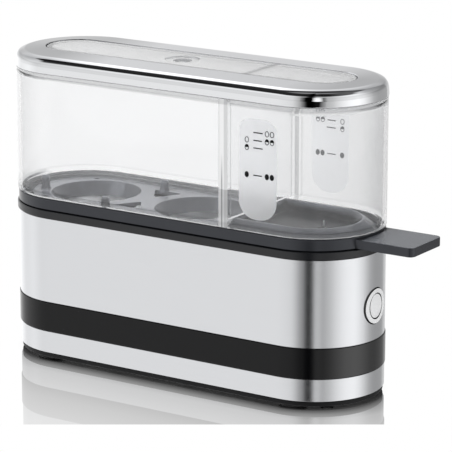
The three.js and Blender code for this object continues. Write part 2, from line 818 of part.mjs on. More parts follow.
function makeVent(side) {
  const points = [[0, ventApex], [ventHalfWidth, ventBase], [-ventHalfWidth, ventBase]];
  const corner = points.map(([x, y]) => new THREE.Vector2(x, side * y));
  if (side < 0) corner.reverse();
  const shape = new THREE.Shape();
  corner.forEach((here, i) => {
    const before = corner[(i + 2) % 3].clone().sub(here).setLength(ventCorner).add(here);
    const after = corner[(i + 1) % 3].clone().sub(here).setLength(ventCorner).add(here);
    if (i === 0) shape.moveTo(before.x, before.y);
    else shape.lineTo(before.x, before.y);
    shape.quadraticCurveTo(here.x, here.y, after.x, after.y);
  });
  shape.closePath();
  return prism(shape, trayDeckBottom - overrun, trayWall + 2 * overrun).translate(eggMiddleX, 0, 0);
}

function makeHandle() {
  const tip = straightHalf + bodyRadius + handleReach;
  const shape = new THREE.Shape();
  const far = tip - handleCorner;
  const side = handleHalfWidth - handleCorner;
  shape.moveTo(straightHalf, -handleHalfWidth);
  shape.lineTo(far, -handleHalfWidth);
  shape.absarc(far, -side, handleCorner, -Math.PI / 2, 0, false);
  shape.absarc(far, side, handleCorner, 0, Math.PI / 2, false);
  shape.lineTo(straightHalf, handleHalfWidth);
  shape.closePath();
  const slab = new THREE.ExtrudeGeometry(shape, {
    depth: handleThickness - 2 * handleEdge,
    bevelThickness: handleEdge,
    bevelSize: handleEdge,
    bevelOffset: -handleEdge,
    bevelSegments: 1,
    curveSegments: smallSteps / 4,
  }).translate(0, 0, bandBottom + handleEdge);
  const inside = planSlab(bandInner + embed, bandBottom - overrun, bandTop + overrun);
  return cut(slab, inside);
}

// Rings of the dish's hollow, wider by the given margin and lower by it
function dishRings(margin) {
  const left = partitionX - crestBack + crestWidth;
  const half = crestHalfWidth - crestWidth;
  const rings = [...dishShares].reverse().map(({ inward, down }) => dRing(
    left + inward * dishDrift - margin,
    half - inward * dishNarrowing + margin,
    crestCorner + margin,
    crestTop - down * dishDepth - margin,
  ));
  const top = dRing(left - margin, half + margin, crestCorner + margin, crestTop + overrun);
  return [...rings, top];
}

function flankRings(margin) {
  const foot = [partitionX - flankFootBack + margin, bandInner + embed - margin, footCorner];
  const crest = [partitionX - crestBack + margin, crestHalfWidth - margin, crestCorner];
  return { foot, crest };
}

function makeTray() {
  const body = roundPlan([
    [0, trayDeckBottom], [deckRadius - trayWall, trayDeckBottom], [deckRadius - trayWall, bandBottom],
    [skirtInner, bandBottom], [skirtInner, bandBottom - skirtDepth],
    [skirtOuter, bandBottom - skirtDepth], [skirtOuter, bandBottom], [bodyRadius, bandBottom],
    [bodyRadius, bandTop], [bandInner, bandTop], [bandInner, gutterTop], [deckRadius, gutterTop],
    [deckRadius, trayDeckTop], [0, trayDeckTop],
  ]);
  const cupBottom = trayDeckTop - cupDepth;
  const slope = (eggHoleRadius - cupSeatRadius) / cupDepth;
  const cups = [firstEggX, secondEggX].map((x) => turned([
    [0, cupBottom], [cupSeatRadius + cupWall, cupBottom],
    [eggHoleRadius + cupWall, trayDeckTop], [0, trayDeckTop],
  ], 2 * endSteps).translate(x, 0, 0));
  const holes = [firstEggX, secondEggX].map((x) => turned([
    [0, cupBottom - overrun], [cupSeatRadius - slope * overrun, cupBottom - overrun],
    [eggHoleRadius + slope * overrun, trayDeckTop + overrun], [0, trayDeckTop + overrun],
  ], 2 * endSteps).translate(x, 0, 0));
  const pegs = pegShares.map(({ along, across, height }) => {
    const top = trayDeckTop + height * pegHeight;
    return turned([
      [0, trayDeckBottom], [pegRadius, trayDeckBottom], [pegRadius, top - pegDome],
      [pegRadius * Math.SQRT1_2, top - pegDome * (1 - Math.SQRT1_2)], [0, top],
    ], smallSteps).translate(eggMiddleX + (along * eggPitch) / 2, across * eggHoleRadius, 0);
  });
  const slots = [1, -1].map((side) => box(
    [-straightHalf - slotX - slotLength / 2, side * slotY - slotWidth / 2, trayDeckBottom - overrun],
    [-straightHalf - slotX + slotLength / 2, side * slotY + slotWidth / 2, trayDeckTop + overrun],
  ));
  const outside = flankRings(0);
  const flank = loft([
    dRing(...outside.foot, bandBottom), dRing(...outside.foot, gutterTop),
    dRing(...outside.crest, crestTop),
  ]);
  const inside = flankRings(dishWall);
  const hollow = cut(loft([
    dRing(...inside.foot, bandBottom - overrun), dRing(...inside.foot, gutterTop),
    dRing(...inside.crest, crestTop - dishWall),
  ]), loft(dishRings(dishWall)));
  const shell = cut(join(body, ...cups, makeHandle(), flank), hollow);
  const dish = common(loft(dishRings(dishWall)), planSlab(bodyRadius, 0, crestTop));
  const needleX = straightHalf + needleOffset;
  const boss = rod(needleBossRadius, dishFloor - embed, dishFloor + needleBossHeight, smallSteps)
    .translate(needleX, 0, 0);
  const needleBore = rod(
    needleRadius + fit,
    dishFloor + needleBossHeight - needleSunk - fit,
    crestTop + overrun,
    smallSteps,
  ).translate(needleX, 0, 0);
  const bowl = join(cut(join(shell, dish), loft(dishRings(0))), boss, ...pegs);
  return cut(bowl, ...holes, ...slots, makeVent(1), makeVent(-1), needleBore);
}

function makeNeedle() {
  const top = dishFloor + needleBossHeight + needleShow;
  return turned([
    [0, dishFloor + needleBossHeight - needleSunk],
    [needleRadius, dishFloor + needleBossHeight - needleSunk],
    [needleRadius, top - needleTip], [0, top],
  ], smallSteps).translate(straightHalf + needleOffset, 0, 0);
}

// The hood's inner side from the wall to the middle, grown outwards by the given amount
function hoodInside(grow) {
  const coverUnder = coverTop - neckWall;
  return [
    [hoodInner + grow, stepTop - neckRun - hoodWall + grow],
    [neckInner + grow, stepTop - hoodWall + grow],
    [neckInner + grow, coverUnder - ringShoulder + grow],
    [neckInner - ringShoulder / 2 + grow, coverUnder + grow],
    [panelRadius - neckWall + grow, coverUnder + grow, openingStretch],
    [panelRadius - neckWall + grow, panelTop - neckWall + grow, openingStretch],
    [0, panelTop - neckWall + grow],
  ];
}

function makeHood() {
  const beadTop = hoodBottom + beadHeight;
  const shell = roundPlan([
    [0, panelTop - neckWall],
    ...hoodInside(0).slice(0, -1).reverse(),
    [hoodInner, beadTop + beadSlope], [lipInner, beadTop],
    [lipInner, hoodBottom - lipDepth], [lipOuter, hoodBottom - lipDepth], [lipOuter, hoodBottom],
    [hoodRadius, hoodBottom], [hoodRadius, stepTop], [neckOuter, stepTop],
    [neckOuter, coverTop - ringShoulder], [neckOuter - ringShoulder / 2, coverTop - neckWall / 4],
    [neckOuter - ringShoulder, coverTop], [panelRadius, coverTop, openingStretch],
    [panelRadius, panelTop, openingStretch], [0, panelTop],
  ]);
  const ventRing = rod(ventRingRadius, panelTop - ventRingDepth, panelTop + overrun)
    .translate(ventHoleX, 0, 0);
  const ventHole = rod(ventHoleRadius, panelTop - neckWall - overrun, panelTop + overrun)
    .translate(ventHoleX, 0, 0);
  return cut(shell, ventRing, ventHole);
}

// The clear wall across the hood, with a rib up each side, set in with a small clearance
function makePartition() {
  const envelope = roundPlan([
    [0, partitionBottom], [hoodInner - fit, partitionBottom], ...hoodInside(-fit),
  ]);
  const half = partitionThickness / 2;
  const wall = box([partitionX - half, -hoodRadius, partitionBottom],
    [partitionX + half, hoodRadius, panelTop]);
  const rib = (side) => box(
    [partitionX - ribBack, side > 0 ? hoodInner - ribDepth : -hoodRadius, partitionBottom],
    [partitionX - ribBack + ribWidth, side > 0 ? hoodRadius : ribDepth - hoodInner, panelTop],
  );
  return common(join(wall, rib(1), rib(-1)), envelope);
}

function makeChromeRing() {
  const shoulderTop = hoodTop - ringCrown;
  const shoulder = ringShoulderShares.map(({ inward, down }) => [
    ringRadius - inward * ringShoulder, shoulderTop - down * ringShoulderDrop,
  ]);
  return roundPlan([
    [ringInner, ringBottom], [ringRadius, ringBottom], ...shoulder,
    [ringOpening, hoodTop, openingStretch], [ringOpening, ringUnder, openingStretch],
    [ringInner - ringShoulder, ringUnder],
    [ringInner - ringShoulder / 2 + fit / 2, ringUnder - neckWall / 4],
    [ringInner, ringUnder - ringShoulder],
  ]);
}

function finish(color, roughness, metalness = 0, opacity = 1) {
  return { color, roughness, metalness, opacity, transparent: opacity < 1 };
}

const blackPlastic = finish(0x2b2c2f, 0.45);
const darkPlastic = finish(0x393a3e, 0.5);
const rubber = finish(0x1c1c1e, 0.85);
const brushedSteel = finish(0xd2d3d5, 0.35, 1);
const satinMetal = finish(0xc9cacc, 0.3, 1);
const zincScrew = finish(0xb7b9bd, 0.4, 1);
const chrome = finish(0xe9eaec, 0.08, 1);
const aluminium = finish(0xb9bbbf, 0.45, 1);
const silicone = finish(0xb4b6b8, 0.7);
const ceramicWhite = finish(0xe6e4de, 0.6);
const copperLead = finish(0xd9d6cf, 0.55);
const boardGreen = finish(0x2f6b46, 0.6);
const clear = finish(0xeceef0, 0.05, 0, 0.3);

const group = new THREE.Group();

function place(parent, name, geometry, look, position = [0, 0, 0]) {
  const mesh = new THREE.Mesh(geometry, new THREE.MeshStandardMaterial({ ...look, flatShading: true }));
  mesh.name = name;
  mesh.position.set(...position);
  parent.add(mesh);
}

const base = new THREE.Group();
place(base, 'base_plate', makeBasePlate(), blackPlastic);
footPlaces.forEach(([x, y], i) => place(base, `rubber_foot_${i + 1}`, makeFoot(), rubber, [x, y, 0]));
postPlaces.forEach(([x, y], i) => {
  const shape = screw(screwHeadRadius, screwHeadHeight, screwRadius, screwLength);
  place(base, `base_screw_${i + 1}`, shape, zincScrew, [x, y, headTop]);
});
place(base, 'steel_jacket', makeJacket(), brushedSteel);
place(base, 'belt_band', makeBelt(), darkPlastic);
place(base, 'top_frame', makeTopFrame(), darkPlastic);
place(base, 'heating_pan', makePan(), aluminium);
place(base, 'pan_seal', makeSeal(), silicone);
place(base, 'heater_plate', makeHeaterPlate(), aluminium);
place(base, 'heating_element', makeElement(), zincScrew);
place(base, 'thermostat', makeThermostat(), ceramicWhite);
place(base, 'thermal_fuse', makeFuse(), zincScrew);
place(base, 'heater_strap', makeStrap(), zincScrew);
earScrews.forEach((x, i) => {
  const shape = screw(strapScrewHeadRadius, strapScrewHeadHeight, strapScrewRadius, strapScrewLength);
  place(base, `strap_screw_${i + 1}`, shape, zincScrew, [x, 0, earBottom - fit]);
});
place(base, 'button_bezel', makeBezel(), satinMetal);
place(base, 'bezel_nut', makeNut(), blackPlastic);
place(base, 'switch_body', makeSwitch(), blackPlastic);
place(base, 'control_board', makeBoard(), boardGreen);
place(base, 'relay', makeRelay(), darkPlastic);
place(base, 'buzzer', makeBuzzer(), blackPlastic);
place(base, 'terminal_block', makeBlock(), ceramicWhite);
place(base, 'cord_gland', makeGland(), blackPlastic);
place(base, 'supply_lead', makeSupplyLead(), copperLead);
place(base, 'heater_lead_1', makeHeaterLead(1), copperLead);
place(base, 'heater_lead_2', makeHeaterLead(-1), copperLead);
place(base, 'earth_lead', makeEarthLead(), copperLead);

const button = new THREE.Group();
place(button, 'push_button', makeButton(), satinMetal);
place(button, 'switch_plunger', makePlunger(), ceramicWhite);

const tray = new THREE.Group();
place(tray, 'egg_tray', makeTray(), darkPlastic);
place(tray, 'piercing_needle', makeNeedle(), satinMetal);

const hood = new THREE.Group();
place(hood, 'hood_shell', makeHood(), clear);
place(hood, 'hood_partition', makePartition(), clear);
place(hood, 'chrome_ring', makeChromeRing(), chrome);

// The origin is under the middle of the whole outline, which the handle makes longer at one end
group.add(base, button, tray, hood);
group.position.x = (rimRadius - bodyRadius - handleReach) / 2;

export default group;
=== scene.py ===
"""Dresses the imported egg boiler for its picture: smooth pieces, materials, light and camera.

Shapes are written in millimetres round the middle of the body, with +X towards the handle and
z = 0 on the surface that the feet stand on. ROW turns them into the frame's metres.
"""

import math

import bmesh
import bpy
from mathutils import Matrix, Vector


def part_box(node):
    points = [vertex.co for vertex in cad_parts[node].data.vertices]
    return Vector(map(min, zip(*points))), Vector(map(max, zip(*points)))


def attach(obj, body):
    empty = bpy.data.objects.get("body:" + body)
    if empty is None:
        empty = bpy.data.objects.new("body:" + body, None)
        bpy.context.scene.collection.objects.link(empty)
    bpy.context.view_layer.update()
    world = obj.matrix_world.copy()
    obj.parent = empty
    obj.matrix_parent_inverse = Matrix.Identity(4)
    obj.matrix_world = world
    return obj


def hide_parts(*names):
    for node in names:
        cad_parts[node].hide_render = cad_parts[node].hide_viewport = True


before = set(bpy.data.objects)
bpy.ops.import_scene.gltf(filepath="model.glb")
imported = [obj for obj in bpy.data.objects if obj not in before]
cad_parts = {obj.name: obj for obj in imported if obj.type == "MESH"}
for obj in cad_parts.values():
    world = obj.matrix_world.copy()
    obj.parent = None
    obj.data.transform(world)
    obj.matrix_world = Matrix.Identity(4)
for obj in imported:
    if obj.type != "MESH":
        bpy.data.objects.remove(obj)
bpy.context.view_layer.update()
scene = bpy.context.scene

# ---------------------------------------------------------------- shared sizes, mm
MM = 0.001
jacket_low, jacket_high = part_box("steel_jacket")
MID_X = (jacket_low.x + jacket_high.x) / 2  # the body's middle in the frame, in metres
R = (jacket_high.y - jacket_low.y) / 2 / MM  # radius of the body's round ends
S = (jacket_high.x - jacket_low.x) / 2 / MM - R  # half length of its straight sides
ROW = Matrix.Translation((MID_X, 0, 0)) @ Matrix.Scale(MM, 4)

EGG_X = -29.2  # middle of the pan and the two egg cups
PAN_S = 30.7  # half length of the pan's straight sides
CUPS_X = (EGG_X - PAN_S, EGG_X + PAN_S)
BUTTON_AT = (S, 0, 45.75)
GLAND_AT = (45, 0, 21.9)
THROUGH_WALL = (R - 6, R + 4)  # how far out a cutter through the jacket's wall starts and ends
BUTTON_GAP_R, GLAND_HOLE_R, BELT_HOLE_R = 8.8, 5.0, 6.8
DISH_TOP = 83.6
NEEDLE_AT = (70.6, 0, 0)
HOOD_R = 33.3  # radius of the hood's outer face at the round ends
STRETCH = 4.4  # how much further the ring's opening runs at each end
PARTITION_X = 35
VENT_X, VENT_R = -8.6, 4.5  # the steam vent in the hood's top

# ---------------------------------------------------------------- fineness of the meshes
END_STEPS = 72  # round each end of the body
FILLET_STEPS = 6
TURNED_STEPS = 64
FINE_STEPS = 96  # round the bezel and the gland
MERGE = 1e-5  # points closer than this become one


# ---------------------------------------------------------------- outlines
def rounded(points, closed):
    """Points (r, z) or (r, z, fillet radius) as Vectors, with the fillets turned into arcs."""
    out, n = [], len(points)
    for i, point in enumerate(points):
        here = Vector(point[:2])
        radius = point[2] if len(point) > 2 else 0
        if not radius or (not closed and i in (0, n - 1)):
            out.append(here)
            continue
        back = (Vector(points[i - 1][:2]) - here).normalized()
        on = (Vector(points[(i + 1) % n][:2]) - here).normalized()
        half = back.angle(on) / 2
        centre = here + (back + on).normalized() * (radius / math.sin(half))
        start = here + back * (radius / math.tan(half)) - centre
        end = here + on * (radius / math.tan(half)) - centre
        sweep = start.angle_signed(end)
        for k in range(FILLET_STEPS + 1):
            out.append(centre + Matrix.Rotation(-sweep * k / FILLET_STEPS, 2) @ start)
    return out


def oblong(radius, half=S, middle=0.0):
    """The plan of an oblong with round ends, from the front of its right end round to the left."""
    ring = []
    for side in (1, -1):
        for k in range(END_STEPS + 1):
            a = math.pi * (k / END_STEPS - 0.5) + (0 if side > 0 else math.pi)
            ring.append((middle + side * half + radius * math.cos(a), radius * math.sin(a)))
    return ring


def d_shape(left, half, corner, steps=48):
    """A plan with a straight left side, two round corners there and the body's round right end."""
    ring = []
    for k in range(steps + 1):
        a = math.pi * (k / steps - 0.5)
        ring.append((S + half * math.cos(a), half * math.sin(a)))
    for y, start in ((half - corner, 90), (corner - half, 180)):
        for k in range(FILLET_STEPS + 1):
            a = math.radians(start + 90 * k / FILLET_STEPS)
            ring.append((left + corner + corner * math.cos(a), y + corner * math.sin(a)))
    return ring


def box_plan(left, right, low, high, corner, steps=8):
    """A rectangle with round corners, anticlockwise."""
    ring = []
    for cx, cy, start in (
        (right - corner, low + corner, -90), (right - corner, high - corner, 0),
        (left + corner, high - corner, 90), (left + corner, low + corner, 180),
    ):
        for k in range(steps + 1):
            a = math.radians(start + 90 * k / steps)
            ring.append((cx + corner * math.cos(a), cy + corner * math.sin(a)))
    return ring


# ---------------------------------------------------------------- meshes
def piece_of(name, bm):
    """The mesh under construction as an object of that name."""
    bmesh.ops.remove_doubles(bm, verts=bm.verts, dist=MERGE)
    bmesh.ops.recalc_face_normals(bm, faces=bm.faces)
    mesh = bpy.data.meshes.new(name)
    bm.to_mesh(mesh)
    bm.free()
    obj = bpy.data.objects.new(name, mesh)
    scene.collection.objects.link(obj)
    return obj


def skin(name, rings, closed=False):
    """A solid through rings of 3D points: its ends are capped, or joined where it is closed."""
    bm = bmesh.new()
    rows = [[bm.verts.new(p) for p in ring] for ring in rings]
    pairs = list(zip(rows, rows[1:])) + ([(rows[-1], rows[0])] if closed else [])
    for a, b in pairs:
        n = len(a)
        for i in range(n):
            bm.faces.new((a[i], a[(i + 1) % n], b[(i + 1) % n], b[i]))
    if not closed:
        bm.faces.new(rows[0][::-1])
        bm.faces.new(rows[-1])
    return piece_of(name, bm)


def swept(name, outline, closed=True, half=S, middle=0.0, opening=None):
    """An outline of (r, z) carried round the oblong plan.

    Where opening gives two radii, the plan grows longer by STRETCH from the first to the second.
    """
    rings = []
    for p in rounded(outline, closed):
        longer = 0
        if opening:
            longer = STRETCH * min(1, max(0, (opening[0] - p.x) / (opening[0] - opening[1])))
        rings.append([(x, y, p.y) for x, y in oblong(p.x, half + longer, middle)])
    return skin(name, rings, closed)


def turned(name, outline, centre, axis="Z", steps=TURNED_STEPS, closed=False):
    """An outline of (r, height) turned round an axis through centre; closed makes it a ring."""
    turn = {
        "Z": Matrix.Identity(3),
        "X": Matrix.Rotation(math.pi / 2, 3, "Y"),
        "Y": Matrix.Rotation(-math.pi / 2, 3, "X"),
    }[axis]
    rings = []
    for p in rounded(outline, closed):
        ring = []
        for k in range(steps):
            a = 2 * math.pi * k / steps
            point = Vector((p.x * math.cos(a), p.x * math.sin(a), p.y))
            ring.append(turn @ point + Vector(centre))
        rings.append(ring)
    return skin(name, rings, closed)


def rod(name, radius, low, high, centre, axis="Z", steps=TURNED_STEPS):
    """A plain round rod between two heights along its axis."""
    return turned(name, [(radius, low), (radius, high)], centre, axis, steps)


def slab(name, plan, low, high):
    """A plan extruded from one height to another."""
    return skin(name, [[(x, y, z) for x, y in plan] for z in (low, high)])


def joined(base, others, operation):
    """The solid base after each of the other solids is used on it; the others are deleted."""
    for other in others:
        step = base.modifiers.new("step", "BOOLEAN")
        step.solver = "MANIFOLD"
        step.operation = operation
        step.object = other
        bpy.context.view_layer.update()
        shaped = base.evaluated_get(bpy.context.evaluated_depsgraph_get())
        made = bpy.data.meshes.new_from_object(shaped)
        base.modifiers.clear()
        base.data = made
        bpy.data.objects.remove(other)
    return base


def cut(base, *others):
    return joined(base, others, "DIFFERENCE")


def add(base, *others):
    return joined(base, others, "UNION")


def plan_uv(mesh):
    """Lays the surface out by its way round the oblong and its height, in millimetres."""
    layer = mesh.uv_layers.new(name="plan")
    quarter = math.pi * R / 2
    for face in mesh.polygons:
        mid = face.center
        for loop in face.loop_indices:
            x, y, z = mesh.vertices[mesh.loops[loop].vertex_index].co
            if abs(mid.x) <= S:
                u = x if mid.y < 0 else 2 * S + 2 * quarter - x
            else:
                side = 1 if mid.x > 0 else -1
                a = math.atan2(side * y, side * x - S)
                u = S + quarter + R * a if side > 0 else 3 * S + 3 * quarter + R * a
            layer.data[loop].uv = (u, z)


def finished(obj, material, body, nodes=(), smooth=32):
    """Shades the piece smooth below that angle, gives it its material and sets it on its body."""
    mesh = obj.data
    mesh.name = obj.name
    plan_uv(mesh)
    mesh.transform(ROW)
    mesh.shade_smooth()
    mesh.set_sharp_from_angle(angle=math.radians(smooth))
    weigh = obj.modifiers.new("normals", "WEIGHTED_NORMAL")
    weigh.keep_sharp = True
    mesh.materials.clear()
    mesh.materials.append(material)
    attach(obj, body)
    if nodes:
        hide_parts(*nodes)


# ---------------------------------------------------------------- shader nodes
MOST = (0.3, 0.7)  # most of a noise's values lie between these


def grey(level):
    return (level,) * 3


class Nodes:
    """Short ways to add nodes to a shader tree."""

    def __init__(self, tree):
        self.tree = tree

    def node(self, kind, inputs=(), **settings):
        """A node with its settings, and its inputs linked to sockets or set to values."""
        made = self.tree.nodes.new("ShaderNode" + kind)
        for key, value in settings.items():
            setattr(made, key, value)
        for key, value in dict(inputs).items():
            if isinstance(value, bpy.types.NodeSocket):
                self.tree.links.new(value, made.inputs[key])
            else:
                made.inputs[key].default_value = value
        return made

    def math(self, operation, *values, **settings):
        inputs = dict(enumerate(values))
        return self.node("Math", inputs, operation=operation, **settings).outputs[0]

    def folded(self, operation, values):
        out = values[0]
        for value in values[1:]:
            out = self.math(operation, out, value)
        return out

    def product(self, *values):
        return self.folded("MULTIPLY", values)

    def larger(self, *values):
        return self.folded("MAXIMUM", values)

    def step(self, value, start, end, low=0.0, high=1.0):
        """Brings a value between start and end to low to high, held at both ends."""
        return self.node("MapRange", {
            "Value": value, "From Min": start, "From Max": end, "To Min": low, "To Max": high,
        }).outputs["Result"]

    def fade(self, value, start, end, low=0.0, high=1.0, zero=0.0):
        """The same for a place in metres, with start and end in mm counted from zero."""
        return self.step(value, zero + start * MM, zero + end * MM, low, high)

    def spread(self, noise, low, high):
        """A noise brought to low to high."""
        return self.step(noise, *MOST, low, high)

    def shade(self, mask, level):
        """That level inside a mask and 1 outside it."""
        return self.step(mask, 0, 1, 1.0, level)

    def blend(self, under, over, factor=1.0, mode="MIX"):
        """Two colours, each a socket or three values, laid over one another."""
        under, over = (
            c if isinstance(c, bpy.types.NodeSocket) else (*c, 1) for c in (under, over)
        )
        inputs = {0: factor, 6: under, 7: over}
        return self.node("Mix", inputs, data_type="RGBA", blend_type=mode).outputs[2]

    def ramp(self, value, stops):
        """A colour ramp through stops of (position, colour), in order."""
        made = self.node("ValToRGB", {"Fac": value})
        elements = made.color_ramp.elements
        elements[0].position, elements[1].position = stops[0][0], stops[-1][0]
        for place, _ in stops[1:-1]:
            elements.new(place)
        for element, (_, color) in zip(elements, stops):
            element.color = (*color, 1)
        return made.outputs["Color"]

    def axes(self, vector):
        return self.node("SeparateXYZ", {"Vector": vector}).outputs

    def facing(self, axis):
        """How far a surface's normal leans along an axis."""
        return self.axes(self.node("NewGeometry").outputs["Normal"])[axis]

    def open_air(self, distance, samples=8):
        """How open the surroundings are within that distance in mm, from 0 to 1."""
        inputs = {"Distance": distance * MM}
        return self.node("AmbientOcclusion", inputs, samples=samples).outputs["AO"]

    def beside(self, at, x=0.0):
        """The distance, in metres, from the plane across the body at x in mm."""
        return self.math("ABSOLUTE", self.math("SUBTRACT", at["X"], MID_X + x * MM))

    def off_line(self, at, half, middle=0.0):
        """The distance in the plan, in metres, from a line along the body.

        The line's half length and middle are in mm.
        """
        beyond = self.step(self.beside(at, middle), half * MM, half * MM + 1, 0, 1)
        flat = self.node("CombineXYZ", {"X": beyond, "Y": at["Y"]}).outputs[0]
        return self.node("VectorMath", {0: flat}, operation="LENGTH").outputs["Value"]

    def came_through(self, rays):
        """Above 0 for a ray that has passed the clear hood, but not for a diffuse one."""
        not_diffuse = self.math("SUBTRACT", 1.0, rays["Is Diffuse Ray"])
        return self.math("MULTIPLY", rays["Transmission Depth"], not_diffuse)

    def mixed(self, factor, first, second):
        return self.node("MixShader", {0: factor, 1: first, 2: second}).outputs["Shader"]


class Look(Nodes):
    """A material on the Principled shader."""

    def __init__(self, name, color, roughness, metallic=0.0, **sockets):
        self.material = bpy.data.materials.new(name)
        self.material.use_nodes = True
        super().__init__(self.material.node_tree)
        self.shader = self.tree.nodes["Principled BSDF"]
        self.shader.inputs["Base Color"].default_value = (*color, 1)
        self.shader.inputs["Roughness"].default_value = roughness
        self.shader.inputs["Metallic"].default_value = metallic
        for key, value in sockets.items():
            self.shader.inputs[key.replace("_", " ")].default_value = value

    def place(self, scale=(1, 1, 1), uv=False):
        """Object coordinates, or the plan's own, stretched by scale."""
        if uv:
            source = self.node("UVMap", uv_map="plan").outputs["UV"]
        else:
            source = self.node("TexCoord").outputs["Object"]
        return self.node("Mapping", {"Vector": source, "Scale": scale}).outputs["Vector"]

    def spot(self):
        """A point's X, Y and Z in metres."""
        return self.axes(self.place())

    def noise(self, scale, detail, uv=False):
        inputs = {"Vector": self.place(scale, uv), "Scale": 1, "Detail": detail}
        return self.node("TexNoise", inputs).outputs["Fac"]

    def drive(self, socket, value):
        self.tree.links.new(value, self.shader.inputs[socket])

    def bump(self, height, distance, strength=1.0):
        inputs = {"Height": height, "Distance": distance, "Strength": strength}
        self.drive("Normal", self.node("Bump", inputs).outputs["Normal"])

    def vary(self, noise, color, dark, light):
        """Varies the base colour by a noise between its dark and its light share."""
        self.base = self.ramp(noise, [
            (MOST[0], [c * dark for c in color]), (MOST[1], [min(1, c * light) for c in color]),
        ])
        self.drive("Base Color", self.base)

    def show(self, shader):
        """Makes a shader the material's surface."""
        self.tree.links.new(shader, self.tree.nodes["Material Output"].inputs["Surface"])


# ---------------------------------------------------------------- materials
CLEAR_IOR = 1.2


def grainy(name, color, roughness, grain, depth, **sockets):
    """A moulded surface: fine grain in the bump, soft clouds in the roughness and the colour."""
    look = Look(name, color, roughness, **sockets)
    clouds = look.noise((60, 60, 60), 2)
    look.drive("Roughness", look.spread(clouds, roughness * 0.88, roughness * 1.12))
    look.vary(clouds, color, 0.92, 1.06)
    look.bump(look.noise((grain,) * 3, 4), depth)
    return look


def brushed(
    name, color, roughness, along, across,
    uv=False, anisotropy=0.0, metallic=1.0, side_shade=None,
):
    """Metal with fine lines, which with uv run the plan's way round.

    Faces that look away from the ends get a painted shade, at the level of the last argument.
    """
    look = Look(name, color, roughness, metallic, Anisotropic=anisotropy)
    scale = (along, across, 1) if uv else (along, along, across)
    lines = look.noise(scale, 5, uv)
    fine = look.noise(tuple(s * 2.3 for s in scale), 3, uv)
    look.drive("Roughness", look.spread(lines, roughness * 0.85, roughness * 1.15))
    look.vary(fine, color, 0.97, 1.02)
    look.bump(lines, 12e-6, 0.2)
    # Painted shade on the faces that look away from the ends.
    if side_shade is not None:
        shaded_sides = look.step(look.math("ABSOLUTE", look.facing("X")), 0.3, 0.75, side_shade, 1.0)
        look.drive("Base Color", look.blend(look.base, shaded_sides, mode="MULTIPLY"))
    if uv:
        look.shader.inputs["Anisotropic Rotation"].default_value = 0.25
        tangent = look.node("Tangent", direction_type="UV_MAP", uv_map="plan")
        look.drive("Tangent", tangent.outputs["Tangent"])
    return look.material


def clear(name, color, roughness, weight, veil, **sockets):
    """A see-through plastic whose shadow stays light: veil is what it lets through there."""
    look = Look(name, color, roughness, Transmission_Weight=weight, IOR=CLEAR_IOR, **sockets)
    clouds = look.noise((30, 30, 30), 2)
    look.drive("Roughness", look.spread(clouds, roughness * 0.7, roughness * 1.3))
    shadow = look.node("LightPath").outputs["Is Shadow Ray"]
    through = look.node("BsdfTransparent", {"Color": (*grey(veil), 1)}).outputs["BSDF"]
    look.show(look.mixed(shadow, look.shader.outputs["BSDF"], through))
    return look


def belt_look():
    """A glossy dark plastic with a painted sheen: it reflects less along the straight sides than
    at the right end.
    """
    look = grainy(
        "belt_plastic", (0.0022, 0.0023, 0.0028), roughness=0.14, grain=2600, depth=3e-6,
    )
    # Painted sheen: the reflection is stronger towards the right end.
    painted_sheen = look.fade(look.spot()["X"], 83, 94, 0.27, 0.88, MID_X)
    look.drive("Specular IOR Level", painted_sheen)
    return look.material


def tray_look():
    """The tray's plastic, with painted light and shade: paler on its deck, its gutter and the
    handle's top, darker in each hollow, egg cup and the dish's bowl.
    """
    look = grainy(
        "tray_plastic", (0.026, 0.027, 0.031), roughness=0.2, grain=2600, depth=1.2e-6,
        Specular_Tint=(0.88, 0.92, 1, 1),
    )
    at = look.spot()
    from_line = look.off_line(at, S)

    # Painted shade: darker, and with weaker reflections, in hollow places, the dish's bowl and
    # each egg cup.
    hollow_shade = look.step(look.open_air(15), 0.35, 0.85, 0.45, 1.0)
    bowl = look.larger(
        look.fade(from_line, 20.0, 21.7, 0.12, 1.0),
        look.fade(at["X"], 35.5, 36.5, 1.0, 0.0, MID_X),
    )
    cup_shades = [
        look.larger(
            look.fade(look.off_line(at, 0, x), 21.9, 22.2, 0.6, 1.0),
            look.fade(at["Z"], 78.7, 79.0),
        ) for x in CUPS_X
    ]
    light = look.product(hollow_shade, bowl, *cup_shades)

    # Painted light: the deck, the gutter and the handle's top are paler than the same plastic on
    # the band.
    deck = look.fade(from_line, 31.4, 31.6, 1.0, 0.0)
    gutter = look.product(
        deck, look.fade(from_line, 26.6, 27.0), look.fade(at["X"], 31, 32, 1.0, 0.0, MID_X),
    )
    ends = look.fade(look.beside(at), 78, 96)
    rear_wall = look.product(look.fade(from_line, 29.6, 30.2), look.fade(at["Y"], 0, 10))
    handle_top = look.product(
        look.step(look.facing("Z"), 0.9, 0.97),
        look.fade(at["X"], S + R, S + R + 1, zero=MID_X),
    )
    # The gutter's painted light is paler still at the ends and on the rear wall.
    gutter_painted_light = look.blend(
        (0.17, 0.177, 0.195), (0.4, 0.41, 0.43), look.larger(ends, rear_wall),
    )
    tone = look.base
    for over, mask in (
        ((0.115, 0.12, 0.134), deck), (gutter_painted_light, gutter), ((0.094, 0.101, 0.115), handle_top),
    ):
        tone = look.blend(tone, over, mask)
    look.drive("Base Color", look.blend(tone, light, mode="MULTIPLY"))
    look.drive("Specular IOR Level", look.step(light, 0, 1, 0.0, 0.5))
    return look.material


